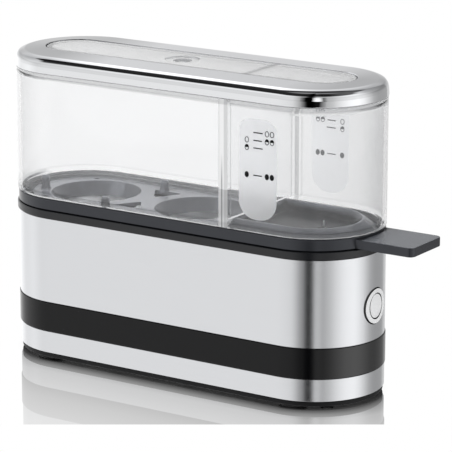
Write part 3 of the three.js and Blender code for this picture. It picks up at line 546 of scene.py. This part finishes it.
def chrome_look():
    """Bright chrome with painted reflections: its top side is darker towards the left and the
    right end.
    """
    look = Look("chrome", (0.93, 0.935, 0.94), roughness=0.03, metallic=1.0)
    look.drive("Roughness", look.spread(look.noise((45, 45, 45), 2), 0.033, 0.042))
    at = look.spot()
    # Painted reflections: the top side's level from the left end to the right end.
    tint = (0.905, 0.915, 0.945)
    levels = ((0, 0.34), (0.2, 0.47), (0.34, 0.94), (0.8, 1.0), (0.9, 0.66), (1, 0.64))
    top_painted_reflection = look.ramp(
        look.fade(at["X"], -108, 108, zero=MID_X),
        [(place, [level * c for c in tint]) for place, level in levels],
    )
    top_side = look.fade(at["Z"], 146.5, 149.0)
    look.drive("Base Color", look.blend((0.915, 0.925, 0.94), top_painted_reflection, top_side))
    return look.material


def hood_look():
    """A clear plastic, milkier in its top panel and foot, with painted shade: greyer where its
    walls are seen edge-on, in corners, on its foot, lip and right end, and along painted lines
    where the partition shows through.
    """
    look = clear(
        "hood_clear", (0.95, 0.952, 0.955), roughness=0.04, weight=0.95, veil=0.95,
        Coat_Weight=0.6, Coat_Roughness=0.04, Coat_IOR=1.4,
    )
    at = look.spot()
    up = at["Z"]
    surface = look.node("NewGeometry").outputs
    panel = look.fade(up, 148.0, 148.3)
    below_lip = look.fade(up, 142.0, 142.5, 1.0, 0.0)
    faces = {
        "front": look.fade(at["Y"], 0.2 - HOOD_R, 0.3 - HOOD_R, 1.0, 0.0),
        "rear": look.fade(at["Y"], HOOD_R - 0.3, HOOD_R - 0.2),
    }

    def upright(x, half, face):
        """1 within that distance of an upright line on the wall's outer face, below the lip."""
        near = look.fade(look.beside(at, x), half - 0.2, half + 0.2, 1.0, 0.0)
        return look.product(near, faces[face], below_lip)

    # Painted shade: greyer where the walls are seen edge-on, in corners, towards the right end and
    # on the foot.
    grazing = look.node("LayerWeight", {"Blend": 0.5}).outputs["Facing"]
    edge_shade = look.step(grazing, 0.25, 0.9, 1.0, 0.87)
    in_open = look.larger(look.open_air(4), surface["Backfacing"])
    corners = look.step(in_open, 0.3, 0.95, 0.62, 1.0)
    right_end_shade = look.fade(at["X"], 55, 108, 1.0, 0.82, MID_X)
    foot = look.fade(up, 83.8, 84.2, 0.8, 1.0)

    # Painted shade under the lip band, on level faces low down, on the vent's wall, over the
    # partition's seam and along the near brim of the top; the top panel is a little greyer as
    # well.
    lip = look.product(look.fade(up, 139.4, 139.8), look.fade(up, 142.4, 142.7, 1.0, 0.0))
    level_face = look.step(look.math("ABSOLUTE", look.axes(surface["Normal"])["Z"]), 0.85, 0.95)
    underside_shade = look.product(level_face, look.fade(up, 84.5, 85.0, 1.0, 0.0))
    vent_shade = look.product(
        look.fade(look.off_line(at, 0, VENT_X), VENT_R + 0.2, VENT_R + 0.3, 1.0, 0.0),
        look.fade(up, 149.6, 149.7, 1.0, 0.0),
    )
    seam_shade = look.product(panel, look.fade(look.beside(at, PARTITION_X), 1.2, 1.9, 1.0, 0.0))
    brim_shade = look.product(
        panel, look.fade(look.off_line(at, S + STRETCH), 12.0, 12.3),
        look.fade(at["Y"], -1, 0, 1.0, 0.0),
    )
    darker = [look.shade(mask, level) for mask, level in (
        (lip, 0.73), (underside_shade, 0.2), (vent_shade, 0.5), (seam_shade, 0.5), (brim_shade, 0.4),
        (panel, 0.85),
    )]
    tone = look.product(edge_shade, corners, right_end_shade, foot, *darker)

    # The far side of the foot is kept clear and pale, without the painted shade.
    rear_foot = look.product(look.fade(up, 83.8, 84.2, 0.96, 0.0), look.fade(at["Y"], 0, 10))
    tone = look.larger(tone, rear_foot)
    # Painted lines where the partition's edges show through the front and rear walls.
    short_shade_line = look.product(upright(35.6, 0.45, "front"), look.fade(up, 104, 117, 1.0, 0.0))
    for mask, level in (
        (upright(37.7, 0.95, "front"), 0.72), (upright(34.1, 0.4, "front"), 0.85),
        (short_shade_line, 0.42), (upright(34.9, 1.2, "rear"), 0.5),
    ):
        tone = look.product(tone, look.shade(mask, level))
    look.drive("Base Color", look.blend((0.0, 0.006, 0.014), (0.94, 0.942, 0.946), tone))

    milky = look.larger(look.fade(up, 82.6, 83.6, 0.9, 0.972), rear_foot)
    # The front wall is less clear along the partition's edge, so that the painted line there
    # shows.
    milky = look.product(milky, look.shade(upright(36.3, 2.5, "front"), 0.42))
    milky = look.node("Mix", {0: panel, 2: milky, 3: 0.55}).outputs[0]
    look.drive("Transmission Weight", milky)
    look.drive("IOR", look.fade(up, 138.5, 139.0, 1.03, CLEAR_IOR))
    look.drive("Coat Weight", look.fade(up, 84.0, 84.5, 0.0, 0.6))
    return look.material


def window_look():
    """The frosted field under the scale."""
    look = clear("window_frost", (0.985, 0.99, 1.0), roughness=0.5, weight=0.78, veil=0.75)
    look.bump(look.noise((3000, 3000, 3000), 2), 10e-6)
    return look.material


steel = brushed(
    "steel_brushed", (0.82, 0.83, 0.85), roughness=0.23, along=0.02, across=6.0,
    uv=True, anisotropy=0.8,
)
belt_plastic = belt_look()
rim_plastic = grainy(
    "rim_plastic", (0.009, 0.0096, 0.0115), roughness=0.22, grain=2600, depth=3e-6,
).material
tray_plastic = tray_look()
base_plastic = grainy(
    "base_plastic", (0.005, 0.0052, 0.006), roughness=0.5, grain=1800, depth=12e-6,
    Specular_IOR_Level=0.25,
).material
foot_rubber = grainy(
    "foot_rubber", (0.006, 0.006, 0.0065), roughness=0.75, grain=900, depth=20e-6,
).material
# The bezel and the button have a painted shade on their sides.
satin = brushed(
    "satin_metal", (0.97, 0.975, 0.985), roughness=0.36, along=900, across=900,
    metallic=0.15, side_shade=0.1,
)
plated = brushed("plated_steel", (0.62, 0.63, 0.65), roughness=0.34, along=500, across=500)
aluminium = brushed("pan_aluminium", (0.85, 0.86, 0.88), roughness=0.42, along=120, across=900)
silicone = grainy(
    "silicone", (0.46, 0.46, 0.47), roughness=0.6, grain=700, depth=10e-6,
).material
white_plastic = grainy(
    "white_plastic", (0.78, 0.77, 0.73), roughness=0.35, grain=1500, depth=5e-6,
).material
black_part = grainy(
    "black_part", (0.02, 0.02, 0.021), roughness=0.4, grain=1500, depth=6e-6,
).material
board = grainy(
    "board_green", (0.03, 0.15, 0.06), roughness=0.4, grain=1200, depth=6e-6,
).material
sleeve = grainy(
    "lead_sleeve", (0.7, 0.67, 0.62), roughness=0.55, grain=1100, depth=10e-6,
).material
# The rear scale's print is grey, not black: painted light standing in for the milky walls it is
# seen through.
ink, hazed_rear_ink = (
    grainy(name, color, roughness=0.5, grain=1500, depth=4e-6, Specular_IOR_Level=0.2).material
    for name, color in (
        ("scale_ink", (0.003, 0.003, 0.0034)), ("scale_ink_rear", (0.17, 0.172, 0.178)),
    )
)
chrome = chrome_look()
hood_plastic = hood_look()
frost = window_look()


# ---------------------------------------------------------------- base
jacket = swept("jacket_skin", [
    (33, 3.7, 0.2), (33, 14.3), (31.9, 14.3), (31.9, 29.5), (33, 29.5), (33, 71.2, 0.2),
    (32.2, 71.2), (32.2, 30.3), (31.1, 30.3), (31.1, 13.5), (32.2, 13.5), (32.2, 3.7),
])
cut(
    jacket, rod("button_hole", BUTTON_GAP_R, *THROUGH_WALL, BUTTON_AT, "X"),
    rod("gland_hole", GLAND_HOLE_R, *THROUGH_WALL, GLAND_AT, "Y"),
)
finished(jacket, steel, "base", ["steel_jacket"])

belt = swept("belt_skin", [(32.2, 14.6), (33.4, 14.6, 0.35), (33.4, 29.2, 0.35), (32.2, 29.2)])
cut(belt, rod("belt_hole", BELT_HOLE_R, *THROUGH_WALL, GLAND_AT, "Y"))
finished(belt, belt_plastic, "base", ["belt_band"])

rim = swept("frame_skin", [
    (30.1, 69.7), (30.1, 62.0), (31.9, 62.0), (31.9, 71.5), (33.66, 71.5, 0.3),
    (33.66, 75.2, 0.5), (30.86, 75.2, 0.3), (30.86, 71.7),
], closed=False)
cut(
    rim, swept("opening", [(26.4, 60), (26.4, 80)], False, PAN_S, EGG_X),
    swept("seat", [(28.8, 70.7), (28.8, 80)], False, PAN_S, EGG_X),
)
finished(rim, rim_plastic, "base", ["top_frame"])


def in_corners(x, y):
    """The four places that mirror one another in the plan, at the height 0."""
    return [(side_x * x, side_y * y, 0) for side_x in (1, -1) for side_y in (1, -1)]


BOSS_R, WELL_R, SCREW_R = 4.6, 3.0, 1.8
SLOTS, SLOT_PITCH, SLOT_HALF_WIDTH, SLOT_HALF_LENGTH = 5, 9, 1.2, 13

plate = swept("plate_skin", [
    (30.1, 3.4), (30.1, 9.7, 0.3), (31.9, 9.7, 0.3), (31.9, 3.4), (32.4, 3.4, 0.2),
    (32.4, 1.2, 0.5), (31.4, 1.2),
], closed=False)
screws_at = in_corners(84.5, 18.5)
add(plate, *[rod("boss", BOSS_R, 2.4, 6.2, at) for at in screws_at])
cut(plate, *[rod("well", WELL_R, 0, 4.2, at) for at in screws_at])
cut(plate, *[rod("bore", SCREW_R, 0, 7, at) for at in screws_at])
slots = []
for i in range(SLOTS):
    x = EGG_X + (i - (SLOTS - 1) // 2) * SLOT_PITCH
    slot_plan = box_plan(
        x - SLOT_HALF_WIDTH, x + SLOT_HALF_WIDTH, -SLOT_HALF_LENGTH, SLOT_HALF_LENGTH, 1.15,
    )
    slots.append(slab("slot", slot_plan, 0, 5))
cut(plate, *slots)
finished(plate, base_plastic, "base", ["base_plate"])


def nearest_foot(place):
    """The name of the CAD's foot that stands at a place."""
    def distance(name):
        low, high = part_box(name)
        return ((low + high) / 2 - ROW @ Vector(place)).length

    return min((f"rubber_foot_{k}" for k in range(1, 5)), key=distance)


for i, (x, y, z) in enumerate(in_corners(69.88, 24.49)):
    foot = turned(f"foot_pad_{i + 1}", [
        (6.5, 2.0), (6.5, 0, 0.5), (5.0, 0, 0.3), (4.4, 0.35, 0.3), (0.2, 0.35),
    ], (x, y, z))
    finished(foot, foot_rubber, "base", [nearest_foot((x, y, 1))])

pan = swept("pan_skin", [
    (0.3, 61.7), (22.1, 61.7, 1.5), (23.9, 63.5, 1.5), (25.9, 72.2), (28.5, 72.2), (28.5, 73.0),
], False, PAN_S, EGG_X)
cut(pan, swept("pan_inside", [
    (0.3, 62.5), (21.3, 62.5, 1.0), (23.1, 64.3, 1.0), (25.1, 73.0), (25.6, 74.0),
], False, PAN_S, EGG_X))
finished(pan, aluminium, "base", ["heating_pan"])

# The bezel's face bulges less than the jacket's round end, and stands inside a dark gap.
BEZEL_R, BORE_R, BULGE_R = 8.27, 6.3, 42.7
BEZEL_FRONT = 33.55  # how far its middle stands out from the round end's centre
NARROW = 0.9  # the button's width to its height


def narrowed(obj):
    """The piece at the button's share of its width."""
    for vertex in obj.data.vertices:
        vertex.co.y *= NARROW
    return obj


bezel = rod("bezel_ring", BEZEL_R, 31.2, 36, BUTTON_AT, "X", FINE_STEPS)
add(bezel, turned("barrel", [
    (6.65, 25.0), (7.6, 25.0), (7.6, 32.0), (6.65, 32.0),
], BUTTON_AT, "X", FINE_STEPS, True))
cut(bezel, narrowed(rod("bore", BORE_R, 31.0, 37, BUTTON_AT, "X", FINE_STEPS)))
bulge = rod("bulge", BULGE_R, 29, 61, (S + BEZEL_FRONT - BULGE_R, 0, 0), steps=360)
joined(bezel, [bulge], "INTERSECT")
finished(bezel, satin, "base", ["button_bezel"])

button = narrowed(turned("button_cap", [
    (7.3, 23.2), (7.3, 24.7), (5.75, 24.7), (5.75, 33.3, 0.15), (4.7, 33.4), (2.4, 33.55),
    (0.1, 33.6),
], BUTTON_AT, "X"))
finished(button, satin, "button", ["push_button"])

gland = turned("gland_sleeve", [
    (4.7, 29.3), (5.7, 30.8), (4.7, 30.8), (4.7, 32.2), (6.5, 32.2, 0.2), (6.5, 33.6, 0.5),
    (3.4, 33.6, 0.4), (3.4, 29.3),
], GLAND_AT, "Y", FINE_STEPS, True)
finished(gland, base_plastic, "base", ["cord_gland"])

# ---------------------------------------------------------------- tray
TRAY_CUTTERS = (70, 84)  # from below the tray's deck to above it
tray = swept("tray_skin", [
    (24.6, 77.2), (24.6, 75.5), (28.96, 75.5), (28.96, 72.3, 0.3), (30.56, 72.3, 0.3),
    (30.56, 75.5), (33, 75.5, 0.5), (33, 81.05, 0.5), (31.35, 81.05, 0.4), (31.35, 77.3, 0.8),
    (26.4, 77.3, 0.6), (26.4, 79.0, 0.8), (25, 79.0),
], closed=False)
add(tray, *[turned("cup", [(20.1, 72.2), (23.4, 78.6)], (x, 0, 0)) for x in CUPS_X])

FLANK_WALL = 1.8
FLANK_ROWS = (  # the flank's left end, half width, corner radius and height, above its foot
    (31.5, 31.75, 7, 77.3), (33.4, 23.2, 4, 83.2), (33.8, 22.6, 4, DISH_TOP),
)
BOWL_LEFT, BOWL_HALF, BOWL_DEPTH, BOWL_CORNER = 34.5, 21.9, 7.1, 4
BOWL_RUN, BOWL_NARROWING = 19, 10.9  # how far the left end and the sides move in on the way down
BOWL_CURVE = 2.7  # the steeper the wall at the edge
BOWL_STEPS = 12


def dish_side(inset, foot):
    """The dish's flank from its foot up, moved inwards by inset."""
    left, half, corner, _ = FLANK_ROWS[0]
    rows = [(left, half, corner, foot), *FLANK_ROWS[:-1]]
    left, half, corner, top = FLANK_ROWS[-1]
    rows.append((left, half, corner, top - inset))
    return skin("flank", [
        [(x, y, z) for x, y in d_shape(left + inset, half - inset, corner)]
        for left, half, corner, z in rows
    ])


def dish_bowl(grow, drop):
    """The dish's bowl, grown outwards by grow and deepened by drop."""
    left, half = BOWL_LEFT - grow, BOWL_HALF + grow
    rows = [(left, half, DISH_TOP + 2)]
    for k in range(BOWL_STEPS + 1):
        inward = k / BOWL_STEPS
        down = 1 - (1 - inward) ** BOWL_CURVE
        rows.append((
            left + BOWL_RUN * inward, half - BOWL_NARROWING * inward,
            DISH_TOP - BOWL_DEPTH * down - drop,
        ))
    return skin("bowl", [
        [(x, y, z) for x, y in d_shape(left, half, BOWL_CORNER)] for left, half, z in rows
    ])


flank_inside = cut(dish_side(FLANK_WALL, 74.0), dish_bowl(1.6, 1.8))
dish = cut(dish_side(0, 75.5), dish_bowl(0, 0))
add(tray, cut(dish, flank_inside))
add(tray, turned("needle_boss", [(3.4, 76.0), (3.0, 79.5, 0.4), (0.8, 79.5)], NEEDLE_AT))

HANDLE_START, HANDLE_END, HANDLE_HALF, HANDLE_CORNER = S - 10, S + R + 27, 13.8, 2.9
HANDLE_ROWS = (  # how far the outline is drawn in at each height
    (0.5, 75.5), (0.15, 75.65), (0, 76.0), (0, 79.5), (0.15, 79.85), (0.5, 80.0),
)
handle = skin("handle", [
    [(x, y, z) for x, y in box_plan(
        HANDLE_START, HANDLE_END - by, by - HANDLE_HALF, HANDLE_HALF - by, HANDLE_CORNER - by,
    )] for by, z in HANDLE_ROWS
])
cut(handle, swept("band_room", [(31.75, 70), (31.75, 90)], False))
add(tray, handle)
cut(tray, *[turned("hole", [
    (18.2, 71.2), (18.5, 72.2), (21.75, 78.5), (22.1, 79.0), (23.0, 79.6),
], (x, 0, 0)) for x in CUPS_X])

VENT_NEAR, VENT_FAR, VENT_HALF, VENT_FILLET = 5.3, 18.2, 8.4, 1.2  # the triangles in the deck
DRAIN_LEFT, DRAIN_RIGHT, DRAIN_Y, DRAIN_HALF, DRAIN_CORNER = -76.7, -73.3, 21.2, 0.8, 0.75
for side in (1, -1):
    corners = [
        (EGG_X, side * VENT_NEAR), (EGG_X + VENT_HALF, side * VENT_FAR),
        (EGG_X - VENT_HALF, side * VENT_FAR),
    ]
    vent = [tuple(p) for p in rounded([(*c, VENT_FILLET) for c in corners], True)]
    cut(tray, slab("vent", vent if side < 0 else vent[::-1], *TRAY_CUTTERS))
    y = side * DRAIN_Y
    drain = box_plan(DRAIN_LEFT, DRAIN_RIGHT, y - DRAIN_HALF, y + DRAIN_HALF, DRAIN_CORNER)
    cut(tray, slab("drain", drain, *TRAY_CUTTERS))
for x, y, top in ((-84.15, -8.8, 85.8), (-33.4, 20.3, 84.1), (-38.0, -22.9, 84.1)):
    add(tray, turned("peg", [
        (2.7, 78.0), (2.4, 79.4), (2.1, 80.2), (2.1, top, 1.5), (0.1, top),
    ], (x, y, 0), steps=32))
finished(tray, tray_plastic, "tray", ["egg_tray"])

needle = turned("needle_pin", [(0.6, 76.5), (0.6, 81.2), (0.05, 82.8)], NEEDLE_AT, steps=24)
finished(needle, plated, "tray", ["piercing_needle"])

# ---------------------------------------------------------------- hood
PANEL_EDGE = (27.86, 14.9)  # the radii between which the hood's top grows longer
hood = swept("hood_skin", [
    (29.5, 79.6, 0.2), (31.05, 79.6, 0.3), (31.05, 81.35), (HOOD_R, 81.35, 0.3),
    (HOOD_R, 142.2, 0.3), (31.86, 142.2, 0.3), (31.86, 144.0), (29.86, 147.5, 0.5),
    (27.86, 148.0, 0.3), (14.9, 148.0), (14.9, 150.3, 0.6), (13, 150.3),
], closed=False, opening=PANEL_EDGE)
room_inside = swept("hood_room", [
    (29.5, 79.0), (29.5, 82.65, 0.3), (31.3, 83.25, 0.5), (31.3, 138.6, 0.6),
    (29.86, 140.2, 0.5), (29.86, 142.0, 0.8), (27.86, 146.0, 1.0), (12.9, 146.0, 0.3),
    (12.9, 148.3, 0.8), (11, 148.3),
], closed=False, opening=PANEL_EDGE)

PARTITION_TOP, PARTITION_HALF = 147.0, 31.8  # both run into the hood's top and walls
RIB_LEFT, RIB_RIGHT, RIB_REACH, RIB_HALF = 33.3, 38.9, 29.7, 4
partition = box_plan(PARTITION_X - 1, PARTITION_X + 1, -PARTITION_HALF, PARTITION_HALF, 0.3)
cut(room_inside, slab("partition", partition, 83.9, PARTITION_TOP))
for side in (1, -1):
    y = side * (RIB_REACH + RIB_HALF)
    rib = box_plan(RIB_LEFT, RIB_RIGHT, y - RIB_HALF, y + RIB_HALF, 0.8)
    cut(room_inside, slab("rib", rib, 83.25, PARTITION_TOP))
cut(hood, room_inside)
cut(hood, turned("vent_recess", [(8.5, 149.7, 0.3), (8.5, 152)], (VENT_X, 0, 0)))
cut(hood, rod("vent_hole", VENT_R, 140, 152, (VENT_X, 0, 0)))
finished(
    hood, hood_plastic, "hood", ["hood_shell", "hood_partition"], smooth=28,
)

trim = swept("trim_ring", [
    (32.16, 142.5), (33.66, 142.5, 0.3), (33.46, 145.6, 3), (33.02, 147.58, 2.2),
    (31.9, 149.12, 2.2), (29.66, 150.0, 8), (15.2, 150.6, 0.4), (15.2, 148.3),
    (28.16, 148.3), (30.31, 147.8), (32.16, 144.3),
], opening=(29.66, 15.2))
finished(trim, chrome, "hood", ["chrome_ring"])

# ---------------------------------------------------------------- scale on the hood
# It is seen from the front with one egg's marks at the left and two eggs' at the right.
ONE, TWO = (-5.95,), (4.95, 7.65)  # across from the middle of the scale
SCALE_ROWS = (  # drop from the top row, places across, kind
    (0, TWO, "open"), (-3.7, ONE, "open"), (-3.7, TWO, "half"), (-7.25, ONE, "half"),
    (-20.0, ONE, "full"), (-20.0, TWO, "full"),
)
DASHES = ((0, 5.1), (-3.65, 4.7), (-7.2, 5.1), (-20.0, 4.7))  # drop, length
DASH_START, DASH_HALF, DASH_CORNER = 2.4, 0.25, 0.24
EGG = [(1.12 * math.cos(t), 1.4 * math.sin(t)) for t in (math.pi * k / 12 for k in range(24))]
EGG_ROOM = (0.74, 0.78)  # the size of an open egg's inside to its outside
PANE = (-0.02, 0.12)  # distances outside the hood's wall
PRINT = ((0.12, 0.17), (-0.09, -0.04))  # the print shows on both sides of the frosted field
LOW_CORNER, HIGH_CORNER = 9, 6.5
WINDOWS = dict(
    front=dict(side=-1, left=45.1, right=65.6, low=87.6, high=134.8, middle=55.4, top=128.55),
    rear=dict(side=1, left=43.4, right=63.9, low=86.7, high=133.9, middle=54.3, top=125.8),
)


def print_layer(name, outline, side, low, high):
    """An outline of (x, z) as a thin layer between two distances outside the hood's wall."""
    wall = side * HOOD_R
    return skin(name, [[(x, wall + side * d, z) for x, z in outline] for d in (low, high)])


def egg_mark(x, z, kind, side, layer):
    """An egg shape: an outline, an outline with its upper half filled, or a filled one."""
    mark = print_layer("mark", [(x + a, z + b) for a, b in EGG], side, *layer)
    if kind != "full":
        inner = [(x + EGG_ROOM[0] * a, z + EGG_ROOM[1] * b) for a, b in EGG]
        if kind == "half":
            inner = [(a, b) for a, b in inner if b <= z + 0.01]
        cut(mark, print_layer("hole", inner, side, -1, 1))
    return mark


def dash(x, z, length, side, layer):
    """A dash that starts DASH_START left of the middle, as seen from outside."""
    start = x - DASH_START if side < 0 else x + DASH_START - length
    end = x - DASH_START + length if side < 0 else x + DASH_START
    plan = box_plan(start, end, z - DASH_HALF, z + DASH_HALF, DASH_CORNER)
    return print_layer("mark", plan, side, *layer)


for name, w in WINDOWS.items():
    side, x = w["side"], w["middle"]
    corners = [
        (w["left"], w["low"], LOW_CORNER), (w["right"], w["low"], LOW_CORNER),
        (w["right"], w["high"], HIGH_CORNER), (w["left"], w["high"], HIGH_CORNER),
    ]
    outline = [tuple(p) for p in rounded(corners, True)]
    finished(print_layer(f"window_{name}", outline, side, *PANE), frost, "hood")

    mark_pieces = []
    for layer in PRINT:
        for drop, columns, kind in SCALE_ROWS:
            for off in columns:
                mark_pieces.append(egg_mark(x - side * off, w["top"] + drop, kind, side, layer))
        for drop, length in DASHES:
            mark_pieces.append(dash(x, w["top"] + drop, length, side, layer))
    marks = bmesh.new()
    for mark in mark_pieces:
        marks.from_mesh(mark.data)
        bpy.data.objects.remove(mark)
    finished(piece_of(f"scale_marks_{name}", marks), ink if side < 0 else hazed_rear_ink, "hood")

# ---------------------------------------------------------------- pieces that keep the CAD's shape
inner_looks = {
    "pan_seal": silicone, "heater_plate": aluminium, "heating_element": plated,
    "thermostat": white_plastic, "thermal_fuse": plated, "heater_strap": plated,
    "strap_screw_1": plated, "strap_screw_2": plated, "bezel_nut": black_part,
    "switch_body": black_part, "control_board": board, "relay": black_part,
    "buzzer": black_part, "terminal_block": white_plastic, "supply_lead": sleeve,
    "heater_lead_1": sleeve, "heater_lead_2": sleeve, "earth_lead": sleeve,
    "switch_plunger": white_plastic,
    **{f"base_screw_{k}": black_part for k in range(1, 5)},
}
for node, look in inner_looks.items():
    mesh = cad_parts[node].data
    if not mesh.materials:
        mesh.materials.append(look)
    for i in range(len(mesh.materials)):
        mesh.materials[i] = look

# ---------------------------------------------------------------- floor
# A pale, even table that mirrors the body less with distance and is shaded only close under it.
CAMERA_TURN = math.radians(33.355)
CAMERA_RISE = math.radians(14.508)
FLOOR_REACH = 6.0  # metres
TABLE_EDGE = ROW @ Vector((61.1, -68.4, 0))  # on the front edge, which is square to the picture
MIRROR_FADE = 80  # mm from the body
MIRROR_STOPS = (  # share of that way, share of the mirror
    (0, 0.97), (0.09, 0.74), (0.19, 0.57), (0.6, 0.4), (1, 0.3),
)

inward = Matrix.Rotation(CAMERA_TURN, 3, "Z") @ Vector((0, 1, 0))
across = Vector((inward.y, -inward.x, 0))
corners = [
    TABLE_EDGE + across * a * FLOOR_REACH + inward * b * FLOOR_REACH
    for a, b in ((-1, 0), (1, 0), (1, 1), (-1, 1))
]
floor_mesh = bpy.data.meshes.new("floor")
floor_mesh.from_pydata([tuple(c) for c in corners], [], [(0, 1, 2, 3)])
floor = bpy.data.objects.new("floor", floor_mesh)
scene.collection.objects.link(floor)

ground = Look("floor_pale", grey(0.8), roughness=0.6)
rays = ground.node("LightPath").outputs
from_line = ground.off_line(ground.spot(), S)
mirror_share = ground.ramp(
    ground.fade(from_line, R, R + MIRROR_FADE),
    [(place, grey(share)) for place, share in MIRROR_STOPS],
)
open_floor = ground.step(ground.open_air(5, samples=16), 0.4, 0.8, 0.02, 1.0)
glow = ground.node("Emission", {"Strength": open_floor}).outputs["Emission"]
mirror = ground.node("BsdfGlossy", {"Color": (1, 1, 1, 1), "Roughness": 0.0}).outputs["BSDF"]
seen = ground.mixed(mirror_share, glow, mirror)
direct = ground.math(
    "ADD", rays["Is Camera Ray"], ground.came_through(rays), use_clamp=True,
)
first = ground.mixed(direct, ground.shader.outputs["BSDF"], seen)
clear_way = ground.node("BsdfTransparent").outputs["BSDF"]
ground.show(ground.mixed(rays["Is Glossy Ray"], first, clear_way))
floor_mesh.materials.append(ground.material)

# ---------------------------------------------------------------- world
# The studio as the metal sees it: level by direction, in degrees from the front (-Y) towards +X.
STUDIO = (
    (-180, 0.6), (-147, 0.78), (-143, 0.95), (-138, 1.2), (-120, 1.15), (-95, 0.9),
    (-70, 0.98), (-50, 0.86), (-33, 0.89), (-14, 0.84), (-6, 0.79), (1, 0.6), (7, 0.4),
    (13, 0.34), (16, 0.12), (20, 0.02), (25, 0.02), (28.5, 0.3), (32, 0.84), (38, 0.72),
    (45, 0.48), (57, 0.62), (66, 0.8), (74, 0.92), (84, 1.04), (100, 1.12), (112, 0.96),
    (122, 0.72), (134, 0.46), (146, 0.37), (160, 0.37), (180, 0.4),
)
# Its level by height, from straight down (-1) to straight up (1), on a slant towards the front.
HEIGHTS = (
    (-1, 0.9), (-0.1, 1.0), (0.16, 0.78), (0.25, 0.84), (0.33, 1.0), (0.65, 1.02),
    (0.725, 0.02), (0.9, 0.03), (1, 0.4),
)
SLANT = -0.08
SECOND_MIRROR = 0.45  # the room's level in a mirror image of a mirror image

world = bpy.data.worlds.new("studio")
world.use_nodes = True
scene.world = world
sky = Nodes(world.node_tree)


def direction():
    return sky.node("TexCoord").outputs["Generated"]


def card(azimuth, elevation, size, softness, level, outside=0.0):
    """A round patch in the room, with its level and the level outside it: angles in degrees."""
    a, e = math.radians(azimuth), math.radians(elevation)
    middle = (math.sin(a) * math.cos(e), -math.cos(a) * math.cos(e), math.sin(e))
    near = sky.node("VectorMath", {0: direction(), 1: middle}, operation="DOT_PRODUCT")
    outer, inner = (math.cos(math.radians(angle)) for angle in (size + softness, size))
    return sky.step(near.outputs["Value"], outer, inner, outside, level)


way = sky.axes(direction())
turn = sky.math("ARCTAN2", way["X"], sky.math("MULTIPLY", way["Y"], -1.0))
round_level = sky.ramp(
    sky.step(turn, -math.pi, math.pi), [((a + 180) / 360, grey(level)) for a, level in STUDIO],
)
leaning = sky.math("ADD", way["Z"], sky.math("MULTIPLY", way["Y"], SLANT))
height_level = sky.ramp(
    sky.step(leaning, -1.0, 1.0), [((z + 1) / 2, grey(level)) for z, level in HEIGHTS],
)
room = sky.blend(round_level, height_level, mode="MULTIPLY")
for patch, mode in (
    (card(27, 6, size=14, softness=9, level=0.01, outside=1.0), "MULTIPLY"),
    (card(33.5, 8.5, size=3, softness=7, level=1.3), "ADD"),
    (card(130, 52, size=12, softness=26, level=0.15), "ADD"),
    (card(-146, 36, size=8, softness=8, level=0.3), "ADD"),
):
    room = sky.blend(room, patch, mode=mode)
rays = sky.node("LightPath").outputs
room = sky.blend(room, sky.step(rays["Glossy Depth"], 1, 2, 1, SECOND_MIRROR), mode="MULTIPLY")
mirrored = sky.math("ADD", sky.came_through(rays), rays["Is Singular Ray"])
shown = sky.math("ADD", rays["Is Camera Ray"], mirrored, use_clamp=True)
backdrop = sky.blend(room, grey(1), shown)
sky.tree.links.new(backdrop, sky.tree.nodes["Background"].inputs["Color"])


# ---------------------------------------------------------------- lamps
LAMPS_AIM = (0, 0, 0.07)


def softbox(name, place, size, power):
    """A lamp that isn't seen in mirrors, aimed at the body: metres and watts."""
    data = bpy.data.lights.new(name, "AREA")
    data.shape = "RECTANGLE"
    data.size, data.size_y = size
    data.energy = power
    lamp = bpy.data.objects.new(name, data)
    lamp.location = place
    lamp.rotation_euler = (Vector(place) - Vector(LAMPS_AIM)).to_track_quat("Z", "Y").to_euler()
    lamp.visible_glossy = False
    scene.collection.objects.link(lamp)


softbox("key", (-0.7, -1.0, 1.1), size=(1.0, 0.8), power=11)
softbox("fill", (1.1, -0.5, 0.8), size=(0.8, 0.8), power=5)
softbox("top", (0.0, 0.5, 1.3), size=(1.4, 0.9), power=7)

# ---------------------------------------------------------------- camera
lens = bpy.data.cameras.new("camera")
lens.lens, lens.sensor_width, lens.sensor_fit = 226.49, 36, "HORIZONTAL"
lens.clip_start, lens.clip_end = 0.05, 30
camera = bpy.data.objects.new("camera", lens)
camera.location = ROW @ Vector((737.25, -1095.56, 411.48))
camera.rotation_euler = (math.pi / 2 - CAMERA_RISE, 0, CAMERA_TURN)
scene.collection.objects.link(camera)
scene.camera = camera
scene.view_settings.view_transform = "Standard"
